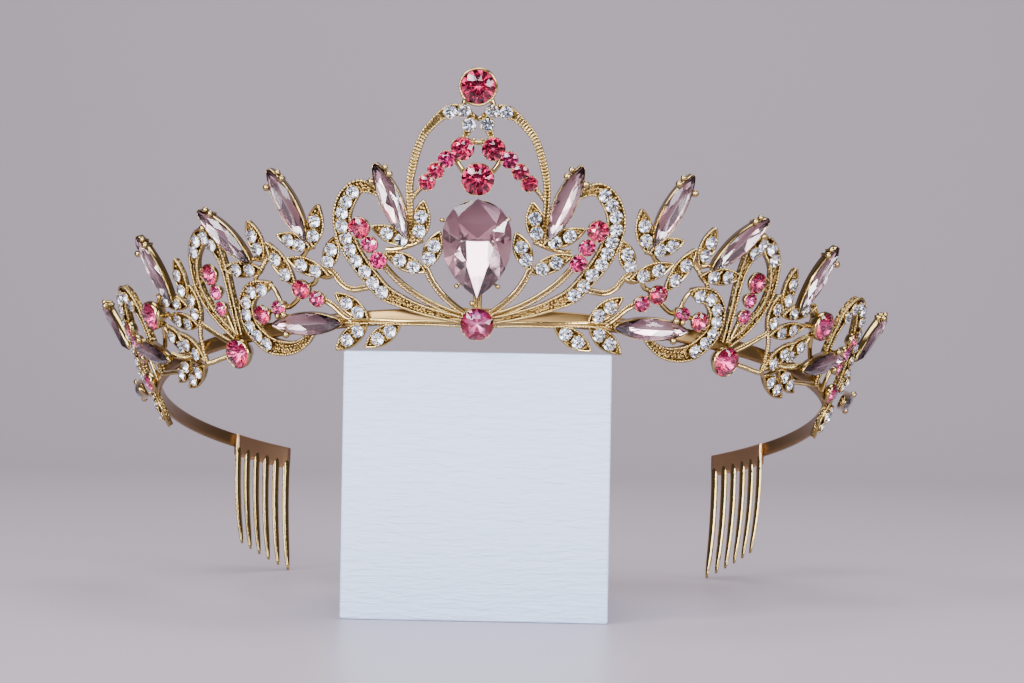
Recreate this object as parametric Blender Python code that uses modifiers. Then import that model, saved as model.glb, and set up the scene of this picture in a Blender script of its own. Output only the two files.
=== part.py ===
"""A tiara of soldered castings set with rose and clear stones, resting on the square box that shows it.

Frame: +Z up, the front towards -Y, the box's foot and the combs' rear tips at z = 0.

Places on the tiara are read on a chart of its sheet, which is unrolled from the head band: an angle
round the band from the front, in degrees, and a height above the band's plane, in millimetres. The
sheet leans outwards by FLARE as it rises, and the band's plane sinks towards the back by TILT.
Angles are given for the right half, +X, and each half is the other's mirror image.
"""

from collections import namedtuple
from math import atan, ceil, cos, hypot, pi, radians, sin, sqrt

import bmesh
import bpy
from mathutils import Matrix, Vector

MM = 0.001

# The ring and its sheet
RING_RADIUS = 70.5
RING_CENTRE_Y = 18.23
FLARE = 0.52
TILT = atan(0.27)
FRONT_HEIGHT = 57.1
LEAF_THICK = 1.2
STEM_THICK = 1.5

# The head band and its combs
BAND_HEIGHT = 3.0
BAND_THICK = 1.3
BAND_INSET = 0.85
BAND_END_ANGLE = 135.6
BAND_STEP = 8.0
COMB_ANGLES = (121.0, 135.2)
COMB_TEETH = 6
COMB_TOP = 1.3
COMB_SPINE = 5.0
COMB_SPINE_STEPS = 3
COMB_THICK = 0.9
COMB_INSET = 1.9
TOOTH_WIDTH = 1.7
TOOTH_THICK = 0.8
TOOTH_LENGTHS = (20.1, 23.77)
TOOTH_CURL = 2.6
TOOTH_ROOT = 0.6
TOOTH_TAPER = ((0.0, 1.0), (0.35, 1.0), (0.7, 0.9), (1.0, 0.45))

# The box that holds the tiara up
BOX_SIDE = 50.0
BOX_FRONT = 67.5
BOX_EDGE = 0.7

# Stones and their settings
GAP = 0.3
RIM = 0.4
ROUND_SIDES = 12
STUD_SIDES = 8
STUD_LOW = -1.0
STUD_HIGH = 1.7
STUD_TABLE = 0.6
STUD_RIM = 0.2
LEAF_SIDE_POINTS = 3
CAST_STEP = 4.0

# Levels of a setting and its stone above the sheet, and the share of its outline that the table takes
Seat = namedtuple("Seat", "foot recess rim bottom girdle_low girdle_high top table")
ROUND_SEAT = Seat(-1.2, 0.1, 2.0, 0.4, 1.6, 2.0, 3.0, 0.6)
MARQUISE_SEAT = Seat(-1.2, 0.0, 1.5, 0.3, 1.2, 1.6, 2.5, 0.55)
CUTTER_TOP = 6.0
CULET = 0.16
MITRE_LIMIT = 0.45
LEAF_FULLNESS = 0.8
MARQUISE_FULLNESS = 0.75
PEAR_SEAT = Seat(-1.3, 0.2, 2.2, 0.5, 1.9, 2.3, 3.9, 0.55)

Leaf = namedtuple("Leaf", "root_angle root_height tip_angle tip_height width")
Marquise = namedtuple("Marquise", "name root_angle root_height tip_angle tip_height width lift")
Round = namedtuple("Round", "name angle height radius")
Stud = namedtuple("Stud", "angle height radius")
Wire = namedtuple("Wire", "radius points")
Ribbon = namedtuple("Ribbon", "points widths")

# Leaves of the right half: each has two clear stones
LEAVES = (
    Leaf(8.2, 12.1, 7.1, 19.1, 3.4),
    Leaf(7.4, 7.8, 5.1, 13.9, 3.3),
    Leaf(8.8, 11.8, 14.6, 15.2, 3.2),
    Leaf(7.4, 7.2, 13.1, 10.7, 3.2),
    Leaf(16.8, -0.2, 21.5, 4.6, 3.3),
    Leaf(17.0, -0.9, 23.0, -4.9, 3.4),
    Leaf(11.7, -1.4, 18.0, -4.9, 3.4),
    Leaf(23.6, 12.6, 21.8, 19.6, 3.4),
    Leaf(24.1, 12.5, 28.9, 15.5, 3.2),
    Leaf(22.2, 8.5, 19.9, 14.0, 3.2),
    Leaf(22.0, 7.6, 28.2, 11.4, 3.2),
    Leaf(32.2, 11.9, 33.2, 18.7, 3.4),
    Leaf(27.8, 6.5, 31.1, 14.6, 3.3),
    Leaf(32.8, 10.1, 40.0, 11.7, 3.2),
    Leaf(50.3, 8.2, 49.6, 16.0, 3.4),
    Leaf(49.1, 3.9, 48.4, 10.8, 3.3),
    Leaf(50.6, 7.4, 57.9, 11.4, 3.3),
    Leaf(49.6, 3.6, 56.9, 7.2, 3.3),
    Leaf(54.6, -0.4, 59.6, 6.2, 3.4),
    Leaf(51.2, -2.6, 56.2, 3.9, 3.4),
    Leaf(55.2, -1.4, 62.2, -3.9, 3.3),
    Leaf(52.0, -3.2, 59.3, -5.6, 3.3),
    Leaf(82.4, 2.2, 87.6, 7.6, 3.3),
    Leaf(82.6, -0.4, 89.2, -2.6, 3.3),
    Leaf(82.0, -0.8, 85.0, -6.9, 3.3),
)

# Long rose crystals of the right half, from the root to the outer tip
MARQUISES = (
    Marquise("marquise_1", 9.5, 13.0, 13.0, 25.6, 4.2, 0.3),
    Marquise("marquise_2", 24.2, 14.2, 27.5, 26.3, 4.2, 0.3),
    Marquise("marquise_3", 33.9, 11.9, 40.4, 22.2, 4.2, 0.6),
    Marquise("marquise_4", 52.9, 9.6, 55.2, 21.5, 4.2, 0.6),
    Marquise("marquise_5", 79.4, 8.4, 84.6, 19.6, 4.2, 0.6),
    Marquise("marquise_6", 20.4, -0.3, 32.6, 0.9, 4.3, 1.0),
    Marquise("marquise_7", 58.8, 0.2, 69.4, 5.8, 4.2, 1.6),
    Marquise("marquise_8", 84.4, 1.6, 94.6, 5.0, 4.2, 1.6),
)
MARQUISE_LENGTH = 14.6

# Round stones with a cup of their own
CENTRE_ROUNDS = (
    Round("round_finial", 0.0, 37.6, 3.1),
    Round("round_centre", 0.0, 22.6, 2.9),
    Round("round_bottom", 0.0, -1.3, 3.0),
)
SIDE_ROUNDS = (
    Round("round_side_front", 41.5, -2.8, 2.8),
    Round("round_side_back", 60.6, 8.7, 2.8),
)
PEAR_TOP = 19.6
PEAR_TIP = 3.2
PEAR_RADIUS = 6.2
PEAR_SIDE_POINTS = 8
PEAR_WIDEST = 0.63
PEAR_SWELL = 2.7
PEAR_LIFT = 0.5

# Small rose stones of the right half, in strings
ROSE_STUDS = (
    Stud(1.9, 27.5, 2.1),
    Stud(3.9, 25.8, 1.55),
    Stud(5.3, 23.9, 1.5),
    Stud(6.5, 22.1, 1.5),
    Stud(16.2, 15.1, 2.0),
    Stud(15.0, 12.2, 1.55),
    Stud(14.0, 9.5, 1.6),
    Stud(26.7, 5.9, 1.8),
    Stud(24.4, 4.0, 1.5),
    Stud(34.7, 2.7, 1.8),
    Stud(31.3, 3.3, 1.5),
    Stud(42.7, 11.4, 2.0),
    Stud(42.5, 8.2, 1.45),
    Stud(42.5, 5.3, 1.4),
    Stud(74.6, 10.3, 1.8),
    Stud(73.9, 7.4, 1.6),
    Stud(73.3, 4.5, 1.6),
    Stud(77.6, 0.5, 2.0),
)

# Flat cast stems that carry stones between two rims, with their width at each point
RIBBONS = (
    Ribbon(
        ((11.8, 19.4), (14.0, 21.3), (15.7, 21.8), (17.3, 20.3), (18.4, 18.0), (18.7, 15.6), (18.2, 12.4))
        + ((17.2, 9.6), (15.7, 6.8), (13.9, 4.1), (11.4, 2.4), (8.6, 1.0), (5.4, -0.1), (2.6, -0.8)),
        (1.0, 1.6, 2.6, 3.4, 3.4, 3.4, 3.4, 3.2, 3.0, 2.8, 2.2, 1.7, 1.4, 1.2),
    ),
    Ribbon(
        ((32.2, 7.4), (33.6, 7.2), (35.6, 7.0), (37.4, 5.4), (38.0, 3.2), (37.8, 0.9), (36.8, -0.9))
        + ((35.2, -2.6), (33.0, -3.5), (30.6, -3.7), (28.4, -3.0), (26.6, -1.6)),
        (1.0, 2.6, 3.2, 3.4, 3.4, 3.4, 3.3, 3.2, 2.8, 2.2, 1.6, 1.0),
    ),
    Ribbon(
        ((41.6, -0.2), (44.0, 2.9), (45.9, 6.8), (46.4, 10.4), (45.7, 14.0), (44.3, 16.5), (42.4, 17.9))
        + ((40.7, 16.9), (40.0, 14.0), (39.9, 10.6), (40.2, 7.2), (40.5, 3.6), (40.8, 0.2)),
        (1.4, 1.5, 1.6, 1.8, 2.2, 3.0, 3.3, 3.0, 1.8, 1.3, 1.2, 1.2, 1.2),
    ),
    Ribbon(
        ((69.2, -0.4), (67.7, 4.0), (67.1, 9.0), (67.7, 12.8), (69.3, 15.2), (71.3, 15.8), (73.4, 14.6))
        + ((75.6, 12.0), (78.0, 9.2), (80.4, 6.3), (82.0, 3.2), (82.6, -0.6)),
        (1.4, 1.5, 1.8, 3.0, 3.3, 3.3, 3.3, 3.2, 3.0, 2.6, 1.8, 1.4),
    ),
    Ribbon(
        ((0.8, 33.4), (1.9, 33.6), (3.0, 33.7), (4.0, 33.2), (5.3, 31.8), (6.7, 29.7))
        + ((7.7, 27.0), (8.4, 24.2), (8.8, 22.1), (9.0, 19.5), (9.0, 15.8), (8.9, 12.2)),
        (1.4, 2.4, 2.6, 2.3, 1.7, 1.5, 1.5, 1.5, 1.5, 1.4, 1.3, 1.2),
    ),
    Ribbon(
        ((0.7, 33.2), (1.0, 32.2), (1.2, 31.1), (1.4, 30.1), (1.8, 28.8)),
        (1.4, 2.2, 2.3, 1.6, 1.2),
    ),
)

# Wires of the right half, through the points where they bend
WIRES = (
    Wire(0.50, ((1.9, 0.2), (3.3, 1.3), (5.1, 3.2), (6.5, 5.4), (7.4, 7.8))),
    Wire(0.50, ((2.2, -0.2), (4.4, 0.6), (6.6, 1.7), (9.3, 3.6), (11.7, 6.0), (13.9, 9.2))),
    Wire(0.60, ((1.9, -1.7), (7.1, -1.4), (11.5, -1.2), (16.6, -0.7), (20.8, -0.3))),
    Wire(0.45, ((7.6, 12.4), (10.2, 11.3), (12.9, 11.2))),
    Wire(0.50, ((6.8, 21.7), (7.9, 20.5), (8.8, 19.2))),
    Wire(0.45, ((1.2, 33.5), (0.5, 32.7), (-0.2, 32.1))),
    Wire(0.50, ((1.5, 28.9), (0.8, 28.5), (-0.2, 28.4))),
    Wire(0.60, ((1.9, 33.9), (1.6, 35.2), (1.2, 36.2))),
    Wire(0.45, ((2.9, 26.3), (2.5, 24.9), (1.8, 23.6))),
    Wire(0.45, ((0.35, 3.7), (0.3, 2.2), (0.3, 0.6))),
    Wire(0.50, ((23.6, 12.6), (25.0, 12.2), (26.4, 10.8))),
    Wire(0.50, ((22.2, 8.9), (21.2, 7.7), (20.2, 5.9), (18.7, 4.9), (16.6, 5.0), (15.0, 5.2))),
    Wire(0.50, ((21.2, 7.7), (22.4, 7.3), (23.9, 7.7), (24.6, 6.6), (26.6, 6.0))),
    Wire(0.50, ((26.7, 5.9), (24.4, 4.0), (22.6, 2.8), (20.9, 0.8), (19.6, -0.3))),
    Wire(0.50, ((31.3, 3.3), (29.7, 3.2), (27.8, 4.4), (26.8, 5.6))),
    Wire(0.50, ((31.0, 13.0), (32.2, 11.9), (33.8, 12.2))),
    Wire(0.50, ((31.4, 11.9), (32.6, 10.9), (34.6, 9.0), (34.2, 7.6))),
    Wire(0.45, ((33.2, 7.8), (31.9, 6.8), (31.3, 4.8), (31.3, 3.3))),
    Wire(0.50, ((31.3, 3.3), (34.7, 2.7), (37.2, 2.6))),
    Wire(0.50, ((42.5, 5.0), (42.2, 2.6), (41.8, 0.0))),
    Wire(0.50, ((42.8, 11.6), (44.6, 11.0), (46.2, 10.4))),
    Wire(0.50, ((45.9, 8.8), (47.9, 9.1), (50.2, 8.6))),
    Wire(0.50, ((50.0, 8.4), (49.2, 4.0), (47.3, 2.1), (45.0, 0.2), (43.3, -1.0))),
    Wire(0.50, ((49.2, 4.0), (50.6, 1.6), (51.3, -2.4), (50.5, -3.1), (46.6, -3.0), (43.6, -2.9))),
    Wire(0.50, ((51.2, -2.6), (54.0, -1.1), (57.0, -0.6), (59.6, 0.0))),
    Wire(0.50, ((51.2, -2.6), (53.2, -3.0), (55.6, -1.4))),
    Wire(0.45, ((57.4, 11.2), (59.0, 10.2), (60.4, 9.0))),
    Wire(0.45, ((56.4, 7.2), (58.2, 7.6), (60.2, 8.2))),
    Wire(0.50, ((59.0, 5.4), (60.2, 6.6), (61.4, 4.6), (63.0, 3.0))),
    Wire(0.50, ((62.6, 10.0), (64.8, 10.6), (67.3, 10.6))),
    Wire(0.50, ((73.3, 4.2), (73.4, 1.8), (73.8, -0.6))),
    Wire(0.50, ((82.4, -0.4), (83.4, 0.8), (84.8, 1.8))),
    Wire(0.50, ((60.0, -2.4), (64.6, -1.4), (69.4, -0.4))),
)


def blend(before, start, end, after, t):
    """One number of a Catmull-Rom curve, a share t of the way from the start to the end."""
    slope = end - before
    bend = 2 * before - 5 * start + 4 * end - after
    twist = 3 * start - before - 3 * end + after
    return 0.5 * (2 * start + slope * t + bend * t**2 + twist * t**3)


def smooth_path(points):
    """Points along a Catmull-Rom curve through the chart places given, about CAST_STEP apart."""
    ends = [points[0]] + list(points) + [points[-1]]
    path = []
    for before, start, end, after in zip(ends, ends[1:], ends[2:], ends[3:]):
        length = hypot((end[0] - start[0]) * radians(RING_RADIUS), end[1] - start[1])
        steps = max(1, round(length / CAST_STEP))
        for k in range(steps):
            path.append(tuple(blend(*four, k / steps) for four in zip(before, start, end, after)))
    return path + [tuple(points[-1])]


def sheet_frame(angle, height, side=1):
    """Matrix of the sheet at a chart place: x along the ring, y up the sheet, z out of it, in metres."""
    turn = radians(angle) * side
    radial = Vector((sin(turn), -cos(turn), 0))
    along = Vector((cos(turn), sin(turn), 0))
    rise = (FLARE * radial + Vector((0, 0, 1))).normalized()
    out = along.cross(rise)
    place = radial * (RING_RADIUS + FLARE * height) + Vector((0, RING_RADIUS, height))
    local = Matrix.Translation(place * MM) @ Matrix((along, rise, out)).transposed().to_4x4()
    front = Vector((0, RING_CENTRE_Y - RING_RADIUS, FRONT_HEIGHT)) * MM
    return Matrix.Translation(front) @ Matrix.Rotation(-TILT, 4, "X") @ local


def on_sheet(angle, height, side=1, lift=0.0):
    """The point of the sheet at a chart place, lifted off it outwards."""
    return sheet_frame(angle, height, side) @ Vector((0, 0, lift * MM))


def frame_between(root, tip, side, lift=0.0):
    """Matrix midway between two chart places: y runs to the tip, z out. Also their distance in mm."""
    start = on_sheet(*root, side, lift)
    end = on_sheet(*tip, side, lift)
    middle = sheet_frame((root[0] + tip[0]) / 2, (root[1] + tip[1]) / 2, side)
    axis = (end - start).normalized()
    across = axis.cross(middle.col[2].to_3d()).normalized()
    matrix = Matrix((across, axis, across.cross(axis))).transposed().to_4x4()
    return Matrix.Translation((start + end) / 2) @ matrix, (end - start).length / MM


def material(name, colour, roughness, metallic=0.0):
    made = bpy.data.materials.new(name)
    made.use_nodes = True
    shader = made.node_tree.nodes["Principled BSDF"]
    shader.inputs["Base Color"].default_value = (*colour, 1)
    shader.inputs["Roughness"].default_value = roughness
    shader.inputs["Metallic"].default_value = metallic
    return made


def add_object(name, bm, collection, finish, matrix=Matrix.Identity(4)):
    """An object from a bmesh, with its faces turned outwards and its place in its matrix."""
    bmesh.ops.recalc_face_normals(bm, faces=bm.faces)
    mesh = bpy.data.meshes.new(name)
    bm.to_mesh(mesh)
    bm.free()
    mesh.materials.append(finish)
    made = bpy.data.objects.new(name, mesh)
    made.matrix_world = matrix
    collection.objects.link(made)
    return made


def pointed_oval(length, width, per_side, fullness):
    """Outline of a leaf or a marquise, tips on the y axis: x is width / 2 * sin(pi t) ** fullness."""
    right = []
    for k in range(1, per_side + 1):
        t = k / (per_side + 1)
        right.append((width / 2 * sin(pi * t) ** fullness, length * (t - 0.5)))
    left = [(-x, y) for x, y in reversed(right)]
    return [(0, -length / 2)] + right + [(0, length / 2)] + left


def pear_outline(top, tip, radius, points):
    """Outline of a pear: below its widest place the half width is radius * (1 - (1 - s) ** PEAR_SWELL).

    There s runs from the tip to the widest place, and above that the head is half an ellipse.
    """
    right = []
    length = top - tip
    for k in range(1, points):
        share = k / points
        if share < PEAR_WIDEST:
            width = radius * (1 - (1 - share / PEAR_WIDEST) ** PEAR_SWELL)
        else:
            width = radius * sqrt(1 - ((share - PEAR_WIDEST) / (1 - PEAR_WIDEST)) ** 2)
        right.append((width, tip + length * share))
    left = [(-x, y) for x, y in reversed(right)]
    return [(0, tip)] + right + [(0, top)] + left


def prism(outline, low, high):
    """A closed solid with this outline in millimetres, between two levels."""
    bm = bmesh.new()
    face = bm.faces.new([bm.verts.new((x * MM, y * MM, low * MM)) for x, y in outline])
    raised = bmesh.ops.extrude_face_region(bm, geom=[face])["geom"]
    corners = [v for v in raised if isinstance(v, bmesh.types.BMVert)]
    bmesh.ops.translate(bm, verts=corners, vec=(0, 0, (high - low) * MM))
    return bm


def offset_outline(outline, distance):
    """The outline moved outwards by a distance at each corner, along the corner's bisector."""
    moved = []
    count = len(outline)
    for k, point in enumerate(outline):
        back = Vector(point) - Vector(outline[k - 1])
        ahead = Vector(outline[(k + 1) % count]) - Vector(point)
        normals = [Vector((d.y, -d.x)).normalized() for d in (back, ahead)]
        bisector = (normals[0] + normals[1]).normalized()
        reach = distance / max(bisector.dot(normals[0]), MITRE_LIMIT)
        moved.append((point[0] + bisector.x * reach, point[1] + bisector.y * reach))
    return moved


def loft(sections):
    """A closed solid through sections of as many corners each, with flat ends."""
    bm = bmesh.new()
    rings = [[bm.verts.new(corner) for corner in section] for section in sections]
    for near, far in zip(rings, rings[1:]):
        for k in range(len(near)):
            after = (k + 1) % len(near)
            bm.faces.new((near[k], near[after], far[after], far[k]))
    bm.faces.new(rings[0][::-1])
    bm.faces.new(rings[-1])
    return bm


def cut_stone(outline, seat):
    """A cut stone: a table and crown facets over the girdle, and a pavilion that ends in a small flat."""
    levels = ((CULET, seat.bottom), (1.0, seat.girdle_low), (1.0, seat.girdle_high), (seat.table, seat.top))
    return loft([[Vector((x * s * MM, y * s * MM, z * MM)) for x, y in outline] for s, z in levels])


def cup(outline, seat, lift):
    """A setting: a solid foot with a wall round a recess that is clear of its stone by GAP."""
    outer = offset_outline(outline, GAP + RIM)
    inner = offset_outline(outline, GAP)
    levels = ((outer, seat.foot - lift), (outer, seat.rim), (inner, seat.rim), (inner, seat.recess))
    return loft([[Vector((x * MM, y * MM, z * MM)) for x, y in ring] for ring, z in levels])


def circle_outline(radius, sides):
    return [(radius * cos(2 * pi * k / sides), radius * sin(2 * pi * k / sides)) for k in range(sides)]


def stud(radius):
    """A small cut stone fused to its setting: a table over a ring of facets."""
    bm = bmesh.new()
    bmesh.ops.create_cone(
        bm,
        cap_ends=True,
        segments=STUD_SIDES,
        radius1=(radius + STUD_RIM) * MM,
        radius2=radius * STUD_TABLE * MM,
        depth=(STUD_HIGH - STUD_LOW) * MM,
        matrix=Matrix.Translation((0, 0, (STUD_LOW + STUD_HIGH) / 2 * MM)),
    )
    return bm


def oblong(centre, across, over):
    """Four corners round a centre, from half its width and half its thickness as vectors."""
    return [centre - across - over, centre + across - over, centre + across + over, centre - across + over]


def ribbon_mesh(ribbon, side):
    """A flat cast stem: a strip of the sheet whose width follows the ribbon's own."""
    path = smooth_path([(a, h, w) for (a, h), w in zip(ribbon.points, ribbon.widths)])
    sections = []
    for k, (angle, height, width) in enumerate(path):
        here = sheet_frame(angle, height, side)
        before = on_sheet(*path[max(k - 1, 0)][:2], side)
        after = on_sheet(*path[min(k + 1, len(path) - 1)][:2], side)
        out = here.col[2].to_3d()
        across = (after - before).cross(out).normalized() * width / 2 * MM
        sections.append(oblong(here.translation, across, out * STEM_THICK / 2 * MM))
    return loft(sections)


def wire_object(name, wire, side, collection, finish):
    """A round wire along the sheet: a curve made a mesh, so that it can be joined to the rest."""
    path = smooth_path(wire.points)
    curve = bpy.data.curves.new(name, "CURVE")
    curve.dimensions = "3D"
    curve.bevel_depth = wire.radius * MM
    curve.bevel_resolution = 0
    curve.use_fill_caps = True
    spline = curve.splines.new("POLY")
    spline.points.add(len(path) - 1)
    for point, (angle, height) in zip(spline.points, path):
        point.co = (*on_sheet(angle, height, side), 1)
    drawn = bpy.data.objects.new(name + "_curve", curve)
    collection.objects.link(drawn)
    bpy.context.view_layer.update()
    graph = bpy.context.evaluated_depsgraph_get()
    mesh = bpy.data.meshes.new_from_object(drawn.evaluated_get(graph))
    matrix = drawn.matrix_world.copy()
    bpy.data.objects.remove(drawn)
    bm = bmesh.new()
    bm.from_mesh(mesh)
    bpy.data.meshes.remove(mesh)
    bmesh.ops.remove_doubles(bm, verts=bm.verts, dist=1e-6)
    return add_object(name, bm, collection, finish, matrix)


def band_mesh():
    """The head band: a flat strip round the ring, open at the back."""
    count = ceil(2 * BAND_END_ANGLE / BAND_STEP)
    sections = []
    for k in range(count + 1):
        angle = BAND_END_ANGLE * (2 * k / count - 1)
        sections.append(upright_section(angle, 0.0, BAND_HEIGHT, BAND_INSET, BAND_THICK))
    return loft(sections)


def upright_section(angle, height, tall, inset, thick):
    """Four corners of a strip that stands along the ring's axis, centred at a height."""
    frame = sheet_frame(angle, 0)
    axis = Matrix.Rotation(-TILT, 3, "X") @ Vector((0, 0, 1))
    out = frame.col[0].to_3d().cross(axis)
    centre = frame.translation + axis * height * MM - out * inset * MM
    return oblong(centre, out * thick / 2 * MM, axis * tall / 2 * MM)


def comb_spine(side):
    """The comb's flat top, soldered to the band's inner face."""
    middle = COMB_TOP - COMB_SPINE / 2
    start, end = COMB_ANGLES
    angles = [start + (end - start) * k / COMB_SPINE_STEPS for k in range(COMB_SPINE_STEPS + 1)]
    return loft([upright_section(side * a, middle, COMB_SPINE, COMB_INSET, COMB_THICK) for a in angles])


def comb_tooth(index, side):
    """One flat tooth that curls towards the hair at its point."""
    share = index / (COMB_TEETH - 1)
    start, end = COMB_ANGLES
    half_angle = TOOTH_WIDTH / 2 / radians(RING_RADIUS - COMB_INSET)
    angle = side * (start + half_angle + (end - start - 2 * half_angle) * share)
    length = TOOTH_LENGTHS[0] + (TOOTH_LENGTHS[1] - TOOTH_LENGTHS[0]) * share
    top = COMB_TOP - COMB_SPINE + TOOTH_ROOT
    frame = sheet_frame(angle, 0)
    axis = Matrix.Rotation(-TILT, 3, "X") @ Vector((0, 0, 1))
    along = frame.col[0].to_3d()
    out = along.cross(axis)
    sections = []
    for t, width in TOOTH_TAPER:
        drop = top - (length + TOOTH_ROOT) * t
        inward = COMB_INSET + TOOTH_CURL * t**2
        centre = frame.translation + axis * drop * MM - out * inward * MM
        sections.append(oblong(centre, along * TOOTH_WIDTH / 2 * width * MM, out * TOOTH_THICK / 2 * MM))
    return loft(sections)


def set_stone(name, outline, seat, frame, lift, groups, gold, glass):
    """A stone in its setting, with a cutter that keeps what is soldered near by out of the recess."""
    tiara, pieces, cutters = groups
    add_object("setting_" + name, cup(outline, seat, lift), pieces, gold, frame)
    clear = prism(offset_outline(outline, GAP / 2), (seat.recess + seat.bottom) / 2, CUTTER_TOP)
    add_object("seat_cutter_" + name, clear, cutters, gold, frame)
    add_object(name, cut_stone(outline, seat), tiara, glass, frame)


def join_all(target, group, operation, name):
    """One Boolean of the target with every piece of a group, which is hidden in the finished part."""
    boolean = target.modifiers.new(name, "BOOLEAN")
    boolean.operation = operation
    boolean.operand_type = "COLLECTION"
    boolean.collection = group
    boolean.solver = "EXACT"
    for piece in group.objects:
        piece.hide_render = True
        piece.display_type = "WIRE"


def new_group(name):
    made = bpy.data.collections.new(name)
    bpy.context.scene.collection.children.link(made)
    return made


def main():
    for old in list(bpy.data.objects):
        bpy.data.objects.remove(old)
    tiara = new_group("tiara_on_display_box")
    pieces = new_group("frame_pieces")
    cutters = new_group("seat_cutters")
    groups = (tiara, pieces, cutters)

    gold = material("champagne_gold", (0.72, 0.52, 0.27), 0.25, 1.0)
    rose = material("rose_glass", (0.62, 0.09, 0.2), 0.08)
    blush = material("blush_crystal", (0.6, 0.38, 0.42), 0.06)
    white = material("white_card", (0.75, 0.79, 0.84), 0.6)

    for side in (-1, 1):
        hand = "left" if side < 0 else "right"
        for index, leaf in enumerate(LEAVES):
            root = (leaf.root_angle, leaf.root_height)
            tip = (leaf.tip_angle, leaf.tip_height)
            frame, length = frame_between(root, tip, side)
            outline = pointed_oval(length, leaf.width, LEAF_SIDE_POINTS, LEAF_FULLNESS)
            plate = prism(outline, -LEAF_THICK / 2, LEAF_THICK / 2)
            add_object(f"leaf_{hand}_{index}", plate, pieces, gold, frame)
        for index, row in enumerate(ROSE_STUDS):
            frame = sheet_frame(row.angle, row.height, side)
            add_object(f"rose_{hand}_{index}", stud(row.radius), pieces, gold, frame)
        for index, ribbon in enumerate(RIBBONS):
            add_object(f"ribbon_{hand}_{index}", ribbon_mesh(ribbon, side), pieces, gold)
        for index, wire in enumerate(WIRES):
            wire_object(f"wire_{hand}_{index}", wire, side, pieces, gold)
        add_object(f"comb_spine_{hand}", comb_spine(side), pieces, gold)
        for index in range(COMB_TEETH):
            add_object(f"comb_tooth_{hand}_{index}", comb_tooth(index, side), pieces, gold)

        for row in MARQUISES:
            width = row.width - 2 * RIM
            outline = pointed_oval(MARQUISE_LENGTH, width, LEAF_SIDE_POINTS, MARQUISE_FULLNESS)
            root, tip = (row.root_angle, row.root_height), (row.tip_angle, row.tip_height)
            frame, _ = frame_between(root, tip, side, row.lift)
            set_stone(f"{row.name}_{hand}", outline, MARQUISE_SEAT, frame, row.lift, groups, gold, blush)
        for row in SIDE_ROUNDS:
            frame = sheet_frame(row.angle, row.height, side)
            outline = circle_outline(row.radius, ROUND_SIDES)
            set_stone(f"{row.name}_{hand}", outline, ROUND_SEAT, frame, 0, groups, gold, rose)

    for row in CENTRE_ROUNDS:
        frame = sheet_frame(row.angle, row.height)
        outline = circle_outline(row.radius, ROUND_SIDES)
        set_stone(row.name, outline, ROUND_SEAT, frame, 0, groups, gold, rose)
    frame, length = frame_between((0, PEAR_TIP), (0, PEAR_TOP), 1, PEAR_LIFT)
    outline = pear_outline(length / 2, -length / 2, PEAR_RADIUS, PEAR_SIDE_POINTS)
    set_stone("pear_stone", outline, PEAR_SEAT, frame, 0, groups, gold, blush)

    band = add_object("tiara_frame", band_mesh(), tiara, gold)
    join_all(band, pieces, "UNION", "soldered")
    join_all(band, cutters, "DIFFERENCE", "stone_seats")

    bpy.ops.mesh.primitive_cube_add(size=1)
    box = bpy.context.object
    box.name = "display_box"
    box.scale = (BOX_SIDE * MM,) * 3
    bpy.ops.object.transform_apply(scale=True)
    box.location = Vector((0, RING_CENTRE_Y - BOX_FRONT + BOX_SIDE / 2, BOX_SIDE / 2)) * MM
    box.data.materials.append(white)
    edges = box.modifiers.new("rounded_edges", "BEVEL")
    edges.width = BOX_EDGE * MM
    edges.segments = 2
    for other in list(box.users_collection):
        other.objects.unlink(box)
    tiara.objects.link(box)


main()
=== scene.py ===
"""The looks of a champagne gold tiara set with rose and clear stones, on its white square display box.

Places on the tiara are read on the same chart as in the part's source: an angle round the head band
from the front, in degrees, and a height above the band's plane, in millimetres, on a sheet that leans
outwards by FLARE as it rises and whose plane sinks towards the back by TILT. Tables give the right
half, +X, and each half is the other's mirror image. Lengths are in millimetres until a mesh is made.

A place on the tiara is an origin and three directions: x across, y along or up the sheet, z out of it.
"""

from math import atan, cos, pi, radians, sin

import bpy
import numpy as np
from mathutils import Matrix, Vector


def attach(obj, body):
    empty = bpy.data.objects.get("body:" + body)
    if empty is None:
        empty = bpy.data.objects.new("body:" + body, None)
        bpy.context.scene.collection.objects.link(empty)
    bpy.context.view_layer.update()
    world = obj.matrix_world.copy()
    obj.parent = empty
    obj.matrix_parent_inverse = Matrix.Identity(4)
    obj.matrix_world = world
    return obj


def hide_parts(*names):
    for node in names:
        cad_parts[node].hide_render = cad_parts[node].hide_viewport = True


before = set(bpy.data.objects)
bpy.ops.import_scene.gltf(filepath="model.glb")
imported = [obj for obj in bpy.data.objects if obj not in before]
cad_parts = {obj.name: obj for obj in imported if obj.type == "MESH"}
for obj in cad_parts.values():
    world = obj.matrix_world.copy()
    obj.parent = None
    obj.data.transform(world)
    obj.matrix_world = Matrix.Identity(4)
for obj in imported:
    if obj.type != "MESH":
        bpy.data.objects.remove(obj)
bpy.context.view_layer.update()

MM = 0.001

# The ring of the head band, the sheet above it, the combs and the box
RING_RADIUS = 70.5
RING_CENTRE_Y = 18.23
FLARE = 0.52
TILT = atan(0.27)
FRONT_HEIGHT = 57.1
BAND_END_ANGLE = 135.6
COMB_ANGLES = (121.0, 135.2)
COMB_TEETH = 6
BOX_SIDE = 50.0
BOX_FRONT = 67.5

# Spacing of the beads along the rims and of the bars across the arch, both as the photograph shows them
BEAD_PITCH = 0.54
RIDGE_PITCH = 0.61
# How thin a beaded wire is between two beads, as a share of its radius
BEAD_NECK = 0.35

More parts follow.
